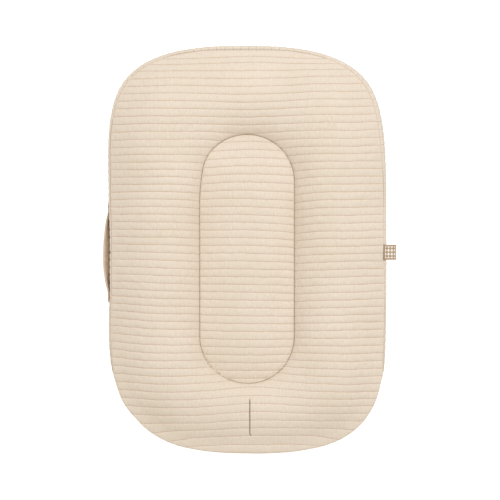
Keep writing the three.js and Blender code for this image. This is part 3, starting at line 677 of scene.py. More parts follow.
def leaning_normals(places, column, row, share):
    """Directions that follow the surface's normal where share is 1 and point straight up where it is 0."""
    columns, rows = column.max() + 1, row.max() + 1
    grid = np.empty((rows, columns, 3))
    grid[row, column] = places
    normals = np.cross(np.gradient(grid, axis=1), np.gradient(grid, axis=0))
    normals /= np.maximum(np.linalg.norm(normals, axis=2, keepdims=True), LEAST_AREA)
    mixed = between(np.array([0.0, 0.0, 1.0]), normals[row, column], share[:, None])
    return mixed / np.maximum(np.linalg.norm(mixed, axis=1, keepdims=True), LEAST_AREA)


def apply_modifiers(piece):
    take(piece)
    for modifier in list(piece.modifiers):
        bpy.ops.object.modifier_apply(modifier=modifier.name)


def thicken(piece, thickness):
    """Gives a surface its thickness, inwards from its face."""
    solid = piece.modifiers.new("thickness", "SOLIDIFY")
    solid.thickness = thickness
    solid.offset = -1
    solid.use_even_offset = False
    apply_modifiers(piece)


def close_poles(piece):
    """Merges the points that fall together where rows shrink to nothing."""
    take(piece)
    bpy.ops.object.mode_set(mode="EDIT")
    bpy.ops.mesh.select_all(action="SELECT")
    bpy.ops.mesh.remove_doubles(threshold=MERGE_REACH)
    bpy.ops.mesh.select_all(action="DESELECT")
    bpy.ops.object.mode_set(mode="OBJECT")


def cut_hole(piece, inside):
    """Deletes the faces whose points all lie inside the hole."""
    take(piece)
    bpy.ops.object.mode_set(mode="EDIT")
    bpy.ops.mesh.select_mode(type="FACE")
    bpy.ops.mesh.select_all(action="DESELECT")
    bpy.ops.object.mode_set(mode="OBJECT")
    for polygon in piece.data.polygons:
        polygon.select = all(inside[v] for v in polygon.vertices)
    bpy.ops.object.mode_set(mode="EDIT")
    bpy.ops.mesh.delete(type="FACE")
    bpy.ops.object.mode_set(mode="OBJECT")


def press_cloth(name, base, column, row, sewn, keep_rows):
    """How the filling's pressure wrinkles sewn cloth, from a cloth simulation of a coarser copy.

    The channels' even swelling is in their shape already, so only what differs from it is given back."""
    fine = np.empty((row.max() + 1, column.max() + 1, 4))
    keep_columns = np.arange(0, fine.shape[1], COLUMN_STEP)
    fine[row, column] = np.concatenate([base, sewn[:, None]], 1)
    coarse = fine[np.ix_(keep_rows, keep_columns)]
    coarse[[0, -1], :, 3] = 1
    coarse[:, [0, -1], 3] = 1
    helper, across, along = new_grid(name, len(keep_columns), len(keep_rows))
    start = coarse[along, across]
    write_points(helper, start[:, :3])
    group = helper.vertex_groups.new(name="sewn")
    group.add(np.flatnonzero(start[:, 3] > 0.5).tolist(), 1.0, "REPLACE")
    cloth = helper.modifiers.new("pressure", "CLOTH")
    for setting, value in CLOTH_SETTINGS.items():
        setattr(cloth.settings, setting, value)
    cloth.settings.vertex_group_mass = "sewn"
    cloth.settings.effector_weights.gravity = 0
    cloth.collision_settings.use_collision = False
    cloth.point_cache.frame_start = 1
    cloth.point_cache.frame_end = CLOTH_FRAMES
    for number in range(1, CLOTH_FRAMES + 1):
        bpy.context.scene.frame_set(number)
    apply_modifiers(helper)
    moved = np.zeros(coarse.shape[:2] + (3,))
    moved[along, across] = read_points(helper) - start[:, :3]
    bpy.data.objects.remove(helper)
    bpy.context.scene.frame_set(1)
    window = np.ones(EVEN_COLUMNS) / EVEN_COLUMNS
    moved -= np.apply_along_axis(np.convolve, 1, moved, window, "same")
    reach = np.linalg.norm(moved, axis=2, keepdims=True)
    moved *= CLOTH_SHARE * np.minimum(1, CLOTH_CAP / np.maximum(reach, TINY))
    tall = np.apply_along_axis(lambda run: np.interp(np.arange(len(fine)), keep_rows, run), 0, moved)
    wide = np.apply_along_axis(lambda run: np.interp(np.arange(fine.shape[1]), keep_columns, run), 1, tall)
    return wide[row, column]


def recalculate(piece):
    take(piece)
    bpy.ops.object.mode_set(mode="EDIT")
    bpy.ops.mesh.select_all(action="SELECT")
    bpy.ops.mesh.normals_make_consistent(inside=False)
    bpy.ops.object.mode_set(mode="OBJECT")


def finish_piece(piece, material, body="root"):
    """Smooth shading, one material and the body that carries the piece."""
    take(piece)
    bpy.ops.object.shade_smooth()
    piece.data.materials.clear()
    piece.data.materials.append(material)
    if body:
        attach(piece, body)
    deselect()
    return piece


def puff(phase, roundness, edge=0.75):
    """A stuffed channel's height: 0 at its sewn lines and 1 at its middle."""
    part = phase - np.floor(phase)
    return np.maximum(1 - np.abs(2 * part - 1) ** roundness, 0) ** edge


def channel_steps(first, last, shares, fine_spans=()):
    """Rows that follow each channel, close together where the cloth dives to its stitches."""
    rows = [line + share for line in range(math.floor(first), math.ceil(last)) for share in shares]
    for start, end in fine_spans:
        rows = [row for row in rows if not start < row < end] + list(np.arange(start, end, FINE_STEP))
    return np.array([first] + [row for row in sorted(rows) if first < row < last] + [last])


def nearest_rows(lines, shares, low, high):
    """The rows that lie nearest those shares of each channel, from one sewn line to another."""
    targets = [number + share for number in range(low, high) for share in shares] + [high]
    return np.unique([int(np.argmin(np.abs(lines - target))) for target in targets])


def crowded(count, places, widths, weights):
    """Steps from -1 to 1 that crowd together about the given places, alike on both sides."""
    fine = np.linspace(-1, 1, CROWD_FINENESS)
    density = np.ones_like(fine)
    for place, width, weight in zip(places, widths, weights):
        density += weight * bell(np.abs(fine) - place, width)
    walked = np.cumsum(density)
    walked = (walked - walked[0]) / (walked[-1] - walked[0])
    return np.interp(np.linspace(0, 1, count), walked, fine)


# Materials


def add_node(tree, kind, inputs=None, **settings):
    """Adds a node, with its inputs set to values or linked from (node, output) pairs."""
    node = tree.nodes.new(kind)
    for name, value in settings.items():
        setattr(node, name, value)
    for name, value in (inputs or {}).items():
        socket = node.inputs[name]
        if isinstance(value, tuple) and isinstance(value[0], bpy.types.Node):
            tree.links.new(value[0].outputs[value[1]], socket)
        else:
            socket.default_value = value
    return node


def new_material(name):
    material = bpy.data.materials.new(name)
    material.use_nodes = True
    tree = material.node_tree
    tree.nodes.clear()
    return material, tree


def per_metre(size):
    """How often a pattern of that size repeats in a metre, which is a texture's scale."""
    return 1 / size


def colour(value):
    """The colour of a socket, from a hex value or a linear colour."""
    return (*(srgb(value) if isinstance(value, str) else value), 1)


def ramp(tree, source, stops):
    """A colour ramp with the given places and colours."""
    node = add_node(tree, "ShaderNodeValToRGB", {"Fac": source})
    elements = node.color_ramp.elements
    while len(elements) < len(stops):
        elements.new(0.5)
    for element, (place, code) in zip(elements, stops):
        element.position = place
        element.color = colour(code)
    return node


def finish_material(tree, bsdf):
    add_node(tree, "ShaderNodeOutputMaterial", {"Surface": (bsdf, "BSDF")})


def knitted_jersey():
    """Brushed cotton jersey: matt, warm cream, with fine upright wales and sewn lines of dotted stitches."""
    material, tree = new_material("brushed_cotton_jersey")
    chosen = bpy.context.scene.lounger_colours
    place = add_node(tree, "ShaderNodeTexCoord")
    uv = add_node(tree, "ShaderNodeUVMap", uv_map="cloth")
    on_cloth = add_node(tree, "ShaderNodeSeparateXYZ", {"Vector": (uv, "UV")})
    # A wale is about 1 mm wide. It is drawn 2.6 mm wide, so that it shows as the fine upright grain.
    wales = add_node(tree, "ShaderNodeTexWave", {
        "Vector": (place, "Object"), "Scale": WAVE_LENGTH / (2.6 * MM), "Distortion": 2.2, "Detail": 2.0,
        "Detail Scale": 1.4}, bands_direction="X")
    # The knit's loops are finer than a pixel. They are drawn as a speckle of 2.4 mm.
    loops = add_node(tree, "ShaderNodeTexNoise", {
        "Vector": (place, "Object"), "Scale": per_metre(2.381 * MM), "Detail": 2.0})
    # Rows of loops catch the light as short upright streaks, about 1.3 mm wide and 8 mm long.
    streak_wide, streak_long = per_metre(1.3158 * MM), per_metre(7.6923 * MM)
    stretch = add_node(tree, "ShaderNodeMapping", {
        "Vector": (place, "Object"), "Scale": (streak_wide, streak_long, streak_long)})
    streaks = add_node(tree, "ShaderNodeTexNoise", {"Vector": (stretch, 0), "Scale": 1.0, "Detail": 1.0})
    # The dye took unevenly over about a hand's width.
    clouds = add_node(tree, "ShaderNodeTexNoise", {
        "Vector": (place, "Object"), "Scale": per_metre(111.11 * MM), "Detail": 3.0})
    line = add_node(tree, "ShaderNodeMath", {0: (on_cloth, "Y")}, operation="FRACT")
    centred = add_node(tree, "ShaderNodeMath", {0: (line, 0), 1: 0.5}, operation="SUBTRACT")
    away = add_node(tree, "ShaderNodeMath", {0: (centred, 0)}, operation="ABSOLUTE")
    near = add_node(tree, "ShaderNodeMapRange", {
        "Value": (away, 0), "From Min": 0.45, "From Max": 0.5, "To Min": 0.0, "To Max": 0.95},
        interpolation_type="SMOOTHSTEP")
    # A stitch with its short gap takes 3.9 mm.
    beat = add_node(tree, "ShaderNodeMath", {
        0: (on_cloth, "X"), 1: 2 * math.pi / (3.9 * MM)}, operation="MULTIPLY")
    dots = add_node(tree, "ShaderNodeMath", {0: (beat, 0)}, operation="SINE")
    dot_share = add_node(tree, "ShaderNodeMapRange", {
        "Value": (dots, 0), "From Min": -1.0, "From Max": 1.0, "To Min": 0.55, "To Max": 1.0})
    stitched = add_node(tree, "ShaderNodeMath", {0: (near, 0), 1: (dot_share, 0)}, operation="MULTIPLY")
    base = ramp(tree, (clouds, "Fac"), [(0.3, chosen.cover_shaded), (0.7, chosen.cover)])
    grain = add_node(tree, "ShaderNodeMapRange", {
        "Value": (wales, "Fac"), "From Min": 0.0, "From Max": 1.0, "To Min": 0.945, "To Max": 1.03})
    speck = add_node(tree, "ShaderNodeMapRange", {
        "Value": (loops, "Fac"), "From Min": 0.3, "From Max": 0.7, "To Min": 0.985, "To Max": 1.015})
    streak = add_node(tree, "ShaderNodeMapRange", {
        "Value": (streaks, "Fac"), "From Min": 0.3, "From Max": 0.7, "To Min": 0.945, "To Max": 1.045})
    fine = add_node(tree, "ShaderNodeMath", {0: (grain, 0), 1: (speck, 0)}, operation="MULTIPLY")
    shade = add_node(tree, "ShaderNodeMath", {0: (fine, 0), 1: (streak, 0)}, operation="MULTIPLY")
    knit = add_node(tree, "ShaderNodeVectorMath", {
        0: (base, "Color"), "Scale": (shade, 0)}, operation="SCALE")
    sewn = add_node(tree, "ShaderNodeMix", {
        "Factor": (stitched, 0), 6: (knit, 0), 7: colour(chosen.stitches)}, data_type="RGBA")
    # Painted shade: the seam attribute mixes the cloth towards the seams colour in the seams, the dart and
    # the band's joins.
    mark = add_node(tree, "ShaderNodeAttribute", attribute_name="seam")
    shaded = add_node(tree, "ShaderNodeMix", {
        "Factor": (mark, "Fac"), 6: (sewn, 2), 7: colour(chosen.seams)}, data_type="RGBA")
    height = add_node(tree, "ShaderNodeMath", {0: (wales, "Fac"), 1: (loops, "Fac")}, operation="ADD")
    bump = add_node(tree, "ShaderNodeBump", {"Height": (height, 0), "Strength": 0.35, "Distance": 0.25 * MM})
    bsdf = add_node(tree, "ShaderNodeBsdfPrincipled", {
        "Base Color": (shaded, 2), "Roughness": 0.92, "Sheen Weight": 0.25, "Sheen Roughness": 0.5,
        "Specular IOR Level": 0.2, "Normal": (bump, "Normal")})
    finish_material(tree, bsdf)
    return material


def woven_cloth(name, light, dark, thread, rough=0.9):
    """Plain weave: two crossing sets of threads, matt, a little darker between them."""
    material, tree = new_material(name)
    place = add_node(tree, "ShaderNodeTexCoord")
    warp, weft, upright = [
        add_node(tree, "ShaderNodeTexWave", {
            "Vector": (place, "Object"), "Scale": WAVE_LENGTH / thread, "Distortion": 0.6},
            bands_direction=axis)
        for axis in "XYZ"]
    cross = add_node(tree, "ShaderNodeMath", {0: (warp, "Fac"), 1: (weft, "Fac")}, operation="MULTIPLY")
    # Threads that run round a standing edge fade out where the cloth lies flat.
    facing = add_node(tree, "ShaderNodeSeparateXYZ", {"Vector": (place, "Normal")})
    lying = add_node(tree, "ShaderNodeMath", {0: (facing, "Z")}, operation="ABSOLUTE")
    standing = add_node(tree, "ShaderNodeMix", {
        "Factor": (lying, 0), "A": (upright, "Fac"), "B": 0.5}, data_type="FLOAT")
    threads = add_node(tree, "ShaderNodeMath", {0: (cross, 0), 1: (standing, 0)}, operation="ADD")
    clouds = add_node(tree, "ShaderNodeTexNoise", {
        "Vector": (place, "Object"), "Scale": per_metre(16.667 * MM), "Detail": 4.0})
    mixed = add_node(tree, "ShaderNodeMath", {0: (threads, 0), 1: (clouds, "Fac")}, operation="MULTIPLY")
    tint = ramp(tree, (mixed, 0), [(0.1, dark), (0.8, light)])
    bump = add_node(tree, "ShaderNodeBump", {"Height": (threads, 0), "Strength": 0.5, "Distance": 0.2 * MM})
    bsdf = add_node(tree, "ShaderNodeBsdfPrincipled", {
        "Base Color": (tint, "Color"), "Roughness": rough, "Sheen Weight": 0.15, "Specular IOR Level": 0.2,
        "Normal": (bump, "Normal")})
    finish_material(tree, bsdf)
    return material


def tab_ribbon():
    """Jacquard ribbon: tan ground with a lattice of plain off-white diamonds woven in."""
    material, tree = new_material("jacquard_tab_ribbon")
    ground_colour = bpy.context.scene.lounger_colours.tab
    uv = add_node(tree, "ShaderNodeUVMap", uv_map="cloth")
    place = add_node(tree, "ShaderNodeTexCoord")
    # Threads are about 0.4 mm apart. They are drawn 0.9 mm apart, so that the ribbon's weave shows.
    weft, warp = [
        add_node(tree, "ShaderNodeTexWave", {
            "Vector": (place, "Object"), "Scale": WAVE_LENGTH / (0.9 * MM), "Distortion": 0.5},
            bands_direction=axis)
        for axis in "YX"]
    threads = add_node(tree, "ShaderNodeMath", {0: (weft, "Fac"), 1: (warp, "Fac")}, operation="MULTIPLY")
    ground = ramp(tree, (threads, 0), [(0.0, "A58A6C"), (0.7, ground_colour)])
    # The lattice of diamonds lies inside a plain border.
    cells = add_node(tree, "ShaderNodeVectorMath", {
        0: (uv, "UV"), 1: (TAB_DIAMONDS, TAB_DIAMONDS, 0)}, operation="MULTIPLY")
    phase = add_node(tree, "ShaderNodeVectorMath", {0: (cells, 0)}, operation="FRACTION")
    centred = add_node(tree, "ShaderNodeVectorMath", {0: (phase, 0), 1: (0.5, 0.5, 0)}, operation="SUBTRACT")
    sides = add_node(tree, "ShaderNodeVectorMath", {0: (centred, 0)}, operation="ABSOLUTE")
    side = add_node(tree, "ShaderNodeSeparateXYZ", {"Vector": (sides, 0)})
    reach = add_node(tree, "ShaderNodeMath", {0: (side, "X"), 1: (side, "Y")}, operation="ADD")
    diamond = add_node(tree, "ShaderNodeMath", {0: (reach, 0), 1: 0.44}, operation="LESS_THAN")
    from_middle = add_node(tree, "ShaderNodeVectorMath", {
        0: (uv, "UV"), 1: (0.5, 0.5, 0)}, operation="SUBTRACT")
    border = add_node(tree, "ShaderNodeVectorMath", {0: (from_middle, 0)}, operation="ABSOLUTE")
    edge = add_node(tree, "ShaderNodeSeparateXYZ", {"Vector": (border, 0)})
    in_x = add_node(tree, "ShaderNodeMath", {0: (edge, "X"), 1: 0.38}, operation="LESS_THAN")
    in_y = add_node(tree, "ShaderNodeMath", {0: (edge, "Y"), 1: 0.38}, operation="LESS_THAN")
    inside = add_node(tree, "ShaderNodeMath", {0: (in_x, 0), 1: (in_y, 0)}, operation="MULTIPLY")
    white = add_node(tree, "ShaderNodeMath", {0: (inside, 0), 1: (diamond, 0)}, operation="MULTIPLY")
    patterned = add_node(tree, "ShaderNodeMix", {
        "Factor": (white, 0), 6: (ground, "Color"), 7: colour("EFEBE5")}, data_type="RGBA")
    # Painted shade: the ribbon is darker where it dives into the seam.
    run = add_node(tree, "ShaderNodeSeparateXYZ", {"Vector": (uv, "UV")})
    dive = add_node(tree, "ShaderNodeMapRange", {
        "Value": (run, "Y"), "From Min": 0.03, "From Max": 0.08, "To Min": 0.7, "To Max": 0.0})
    tint = add_node(tree, "ShaderNodeMix", {
        "Factor": (dive, 0), 6: (patterned, 2), 7: colour("7D644E")}, data_type="RGBA")
    bump = add_node(tree, "ShaderNodeBump", {"Height": (threads, 0), "Strength": 0.5, "Distance": 0.15 * MM})
    bsdf = add_node(tree, "ShaderNodeBsdfPrincipled", {
        "Base Color": (tint, 2), "Roughness": 0.75, "Sheen Weight": 0.1, "Normal": (bump, "Normal")})
    finish_material(tree, bsdf)
    return material


def loose_wadding():
    """Loose polyester fibre: white, soft and cloudy, with no weave."""
    material, tree = new_material("polyester_wadding")
    place = add_node(tree, "ShaderNodeTexCoord")
    fibres = add_node(tree, "ShaderNodeTexNoise", {
        "Vector": (place, "Object"), "Scale": per_metre(5.5556 * MM), "Detail": 8.0, "Distortion": 1.5})
    tint = ramp(tree, (fibres, "Fac"), [(0.3, "E6E1D6"), (0.7, "F7F4EC")])
    bump = add_node(tree, "ShaderNodeBump", {"Height": (fibres, "Fac"), "Strength": 0.6, "Distance": 1 * MM})
    bsdf = add_node(tree, "ShaderNodeBsdfPrincipled", {
        "Base Color": (tint, "Color"), "Roughness": 1.0, "Sheen Weight": 0.4, "Normal": (bump, "Normal")})
    finish_material(tree, bsdf)
    return material


def open_cell_foam():
    """Cut polyurethane foam: pale yellow, matt, with fine open cells about 1.5 mm across."""
    material, tree = new_material("polyurethane_foam")
    place = add_node(tree, "ShaderNodeTexCoord")
    cells = add_node(tree, "ShaderNodeTexVoronoi", {
        "Vector": (place, "Object"), "Scale": per_metre(1.53846 * MM)})
    tint = ramp(tree, (cells, "Distance"), [(0.0, "D9C98F"), (0.6, "F0E5BE")])
    bump = add_node(tree, "ShaderNodeBump", {
        "Height": (cells, "Distance"), "Strength": 0.5, "Distance": 0.4 * MM})
    bsdf = add_node(tree, "ShaderNodeBsdfPrincipled", {
        "Base Color": (tint, "Color"), "Roughness": 0.95, "Normal": (bump, "Normal")})
    finish_material(tree, bsdf)
    return material


def moulded_nylon():
    """Moulded nylon teeth: satin, warm beige, with fine flow marks."""
    material, tree = new_material("moulded_nylon")
    place = add_node(tree, "ShaderNodeTexCoord")
    marks = add_node(tree, "ShaderNodeTexNoise", {
        "Vector": (place, "Object"), "Scale": per_metre(3.3333 * MM), "Detail": 2.0})
    tint = ramp(tree, (marks, "Fac"), [(0.35, "CDBE9F"), (0.65, "D6C8AA")])
    bsdf = add_node(tree, "ShaderNodeBsdfPrincipled", {
        "Base Color": (tint, "Color"), "Roughness": 0.38, "IOR": 1.53, "Coat Weight": 0.1})
    finish_material(tree, bsdf)
    return material


def plated_zinc():
    """Zinc with a brushed nickel plate: warm grey, with fine streaks along its brushing."""
    material, tree = new_material("nickel_plated_zinc")
    place = add_node(tree, "ShaderNodeTexCoord")
    stretch = add_node(tree, "ShaderNodeMapping", {"Vector": (place, "Object"), "Scale": (1, 12, 12)})
    # A brushing mark is 12 times as long as it is wide.
    brush = add_node(tree, "ShaderNodeTexNoise", {
        "Vector": (stretch, 0), "Scale": per_metre(3.84615 * MM), "Detail": 4.0})
    tint = ramp(tree, (brush, "Fac"), [(0.3, "A8A298"), (0.7, "C9C4BA")])
    rough = add_node(tree, "ShaderNodeMapRange", {"Value": (brush, "Fac"), "To Min": 0.24, "To Max": 0.42})
    bsdf = add_node(tree, "ShaderNodeBsdfPrincipled", {
        "Base Color": (tint, "Color"), "Metallic": 1.0, "Roughness": (rough, 0)})
    finish_material(tree, bsdf)
    return material


MATERIALS = {}


def material(name):
    """Each finish is made once and shared by the pieces that have it."""
    makers = {
        "quilted_jersey": knitted_jersey,
        "lining": lambda: woven_cloth("cotton_lining", "EFE7DA", "DACFBE", 1.4 * MM),
        "webbing": lambda: woven_cloth("cotton_webbing", "EBDAC8", "CDB69E", 1.6 * MM),
        "zip_tape": lambda: woven_cloth("zip_tape_weave", "E0D2B8", "C6B594", 1.0 * MM),
        "tan_patch": lambda: woven_cloth("woven_tan_ribbon", "D6B898", "BC9C7E", 1.2 * MM, 0.8),
        # A lighter copy of the webbing for the strap's inner face: painted light that lifts the shade in the
        # trough by the wall.
        "webbing_inside_painted_light": lambda: woven_cloth("cotton_webbing_painted_light", "F0E0CC", "DAC4A8", 1.6 * MM),
        "thread": lambda: woven_cloth("polyester_thread", "D8BE9C", "B79A78", 0.5 * MM, 0.6),
        "tab_weave": tab_ribbon,
        "wadding": loose_wadding,
        "foam": open_cell_foam,
        "nylon": moulded_nylon,
        "zip_metal": plated_zinc,
    }
    if name not in MATERIALS:
        MATERIALS[name] = makers[name]()
    return MATERIALS[name]


class QuiltSizes(PropertyGroup):
    """How the cover's channels are sewn and filled."""

    ring_puff: FloatProperty(
        name="Ring channel height", description="How far the ring's channels swell above their stitches",
        default=2.0 * MM, min=0, max=8 * MM, unit="LENGTH")
    seat_puff: FloatProperty(
        name="Seat channel height", description="How far the seat's channels swell above their stitches",
        default=1.95 * MM, min=0, max=8 * MM, unit="LENGTH")
    band_puff: FloatProperty(
        name="Side channel height", description="How far the side wall's upright channels swell",
        default=1.1 * MM, min=0, max=8 * MM, unit="LENGTH")
    band_pitch: FloatProperty(
        name="Side channel width", description="Distance between the side wall's sewn lines",
        default=15.1 * MM, min=5 * MM, max=40 * MM, unit="LENGTH")
    cloth_thickness: FloatProperty(
        name="Quilt thickness", description="Thickness of the cloth and its thin wadding at a sewn line",
        default=2.4 * MM, min=1 * MM, max=8 * MM, unit="LENGTH")
    roundness: FloatProperty(
        name="Roundness", description="How square the channels are in section",
        default=2.6, min=1.2, max=6)


class ClothColours(PropertyGroup):
    """The colours of the cloths that show."""

    cover: FloatVectorProperty(
        name="Cover", description="The quilted jersey where it is palest", subtype="COLOR",
        size=3, min=0, max=1, default=srgb("E9DAC9"))
    cover_shaded: FloatVectorProperty(
        name="Cover, deeper", description="The quilted jersey where its dye took more", subtype="COLOR",
        size=3, min=0, max=1, default=srgb("E4D5C2"))
    stitches: FloatVectorProperty(
        name="Stitches", description="The thread along the sewn channels", subtype="COLOR",
        size=3, min=0, max=1, default=srgb("C2A285"))
    seams: FloatVectorProperty(
        name="Seams", description="The shade in the seams and in the dart", subtype="COLOR",
        size=3, min=0, max=1, default=srgb("947A62"))
    tab: FloatVectorProperty(
        name="Tab", description="The ground of the woven tab", subtype="COLOR",
        size=3, min=0, max=1, default=srgb("C6AB8B"))


class StageSettings(PropertyGroup):
    """The lamps and the camera round the lounger."""

    key_power: FloatProperty(
        name="Key light", description="Watts of the soft box beyond the head end",
        default=84.5, min=0, max=500)
    sky: FloatProperty(
        name="Sky light", description="Strength of the plain light from all round",
        default=0.645, min=0, max=2)
    camera_height: FloatProperty(
        name="Camera height", description="Distance of the camera above the floor",
        default=5.0, min=1, max=20, unit="LENGTH")


def ring_line_places(x, line):
    """Where a sewn line of the ring would lie if it were straight, and how far it bends from there at x."""
    number, place, bow, tilt = np.array(RING_LINES).T
    bowed = np.interp(line, number, bow) * bell(x - BOW_MIDDLE, BOW_WIDTH)
    tilted = np.interp(line, number, tilt) * TILT_LIMIT * np.tanh(x / (TILT_REACH * TILT_LIMIT))
    settled = LINE_SETTLE * smooth(0, LINE_SETTLE_HEAD, line) * smooth(0, LINE_SETTLE_FOOT, LAST_LINE - line)
    straight = np.interp(line, number, place) - settled
    left = LEFT_RISE * smooth(*LEFT_RISE_SPAN, -x) * smooth(*LEFT_RISE_LENGTH, -straight)
    right = RIGHT_RISE * smooth(*RIGHT_RISE_SPAN, x)
    return straight * MM, (bowed + tilted + left + right) * MM


def ring_drift(x, y):
    """The small wander of hand-guided sewn lines."""
    wide = soft_noise(x, y, DRIFT_GRAIN, RNG_SEED + 1)
    fine = soft_noise(x, y, FINE_DRIFT_GRAIN, RNG_SEED + 2)
    return DRIFT * wide + FINE_DRIFT * fine


class LOUNGER_OT_ring_cover(Operator):
    """Sew the quilted cover of the raised ring, with a hole for the seat and a dart at the foot"""

    bl_idname = "lounger.ring_cover"
    bl_label = "Ring cover"

    def execute(self, context):
        sizes = context.scene.lounger_quilt
        lines = channel_steps(RING_LINES[0][0], RING_LINES[-1][0], CHANNEL_SHARES, RING_FINE_LINES)
        steps = crowded(RING_COLUMNS, *RING_CROWDS)
        piece, column, row = new_grid("ring_cover", len(steps), len(lines))
        line = lines[::-1][row]
        across = steps[column]
        straight = ring_line_places(0.0, line)[0]
        inset = seam_inset(straight)
        rough_x = across * half_width_at(straight, inset)
        bend = ring_line_places(rough_x, line)[1]
        fade = 1 - (np.abs(straight) / (HALF_LENGTH - inset)) ** RING_FADE_POWER
        y = straight + fade * (bend + ring_drift(rough_x, straight))
        x = across * half_width_at(y, inset)
        from_edge = outline_distance(x, y)
        at_rim = np.maximum(from_edge - inset, 0)
        seat_gap = seat_distance(x, y)
        z = ring_height(x, y, from_edge) - TUCK_DEPTH * smooth(0, SEAM_OVERLAP, -seat_gap)
        z = z - RIM_TUCK * (1 - smooth(0, RIM_TUCK, at_rim))
        z = z + ROLL_RISE * smooth(0, ROLL_WIDTH, at_rim) * smooth(*FOOT_SPAN, -y)
        swell = SWELL * soft_noise(x, y, SWELL_GRAIN, RNG_SEED + 5)
        z = z + swell * smooth(0, SWELL_RIM_FADE, at_rim) * smooth(0, SWELL_SEAT_FADE, seat_gap)
        out_x, out_y = outward(x, y)
        over = overhang(x, y, at_rim)
        # At the sides and corners the swelling goes sideways alone, so the sewn lines stay straight.
        sideways = smooth(*SIDEWAYS_SPAN, np.abs(out_x))
        over_x = out_x * over * between(1, 1 / np.maximum(out_x**2, SIDEWAYS_LEAST), sideways)
        over_y = out_y * over * (1 - sideways)
        base = np.stack([x + over_x, y + over_y, z], 1)
        near_seam = np.minimum(at_rim, np.abs(seat_gap))
        outwards = leaning_normals(base, column, row, smooth(*RING_NORMAL_SPAN, near_seam))
        fullness = between(RIM_PUFF_SHARE, 1, smooth(0, RIM_PUFF_REACH, at_rim))
        fullness = fullness * between(SEAM_PUFF_SHARE, 1, smooth(0, SEAM_PUFF_REACH, np.abs(seat_gap)))
        fullness = fullness * between(FOOT_PUFF_SHARE, 1, smooth(*FOOT_PUFF_SPAN, y))
        uneven = 1 + RING_UNEVEN_SHARE * soft_noise(x, y, RING_UNEVEN_GRAIN, RNG_SEED + 3)
        height = sizes.ring_puff * fullness * (uneven * puff(line, sizes.roundness) - 1)
        height = height + puckers(x, y, line, near_seam, RNG_SEED + 4)
        base = base + outwards * height[:, None]
        sewn = (np.abs(line - np.rint(line)) < HELD_SHARE) | (near_seam < HELD_REACH) | (seat_gap < 0)
        keep_rows = nearest_rows(lines[::-1], PRESSED_SHARES, 0, LAST_LINE)
        base = base + press_cloth("pressed_ring", base, column, row, sewn.astype(float), keep_rows)
        base[:, 0] += lean(x, y) + spread(x, y) + top_slip(x, y)
        dart, fold = self.dart_depth(base[:, 0], y)
        base[:, 2] -= DART_DEPTH * dart + DART_FOLD * fold
        write_points(piece, base)
        # Painted shade in the seat's seam, in patches along the rim seam and in the dart.
        seam = caught(line) * bell(seat_gap, SEAM_WIDTH) + rim_seam_shade(x, y, at_rim)
        set_cloth(piece, x, line, seam + DART_SHADE_SHARE * caught(line) * dart)
        cut_hole(piece, seat_gap < -SEAM_OVERLAP)
        close_poles(piece)
        thicken(piece, sizes.cloth_thickness)
        finish_piece(piece, material("quilted_jersey"))
        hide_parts("ring_panel")
        return {"FINISHED"}

    def dart_depth(self, x, y):
        """The fold sewn into the foot: a narrow groove that takes up the cover's fullness."""
        jog = DART_JOG * smooth(0, DART_JOG_LENGTH, DART_FOOT + DART_JOG_LENGTH - y)
        in_length = smooth(*DART_FOOT_SPAN, y - DART_FOOT) * smooth(*DART_HEAD_SPAN, DART_HEAD - y)
        away = x - DART_PLACE - jog
        fold = np.exp(-np.abs(away) / np.where(away > 0, DART_FOLD_RIGHT, DART_FOLD_LEFT))
        return in_length * bell(away, DART_WIDTH), in_length * fold


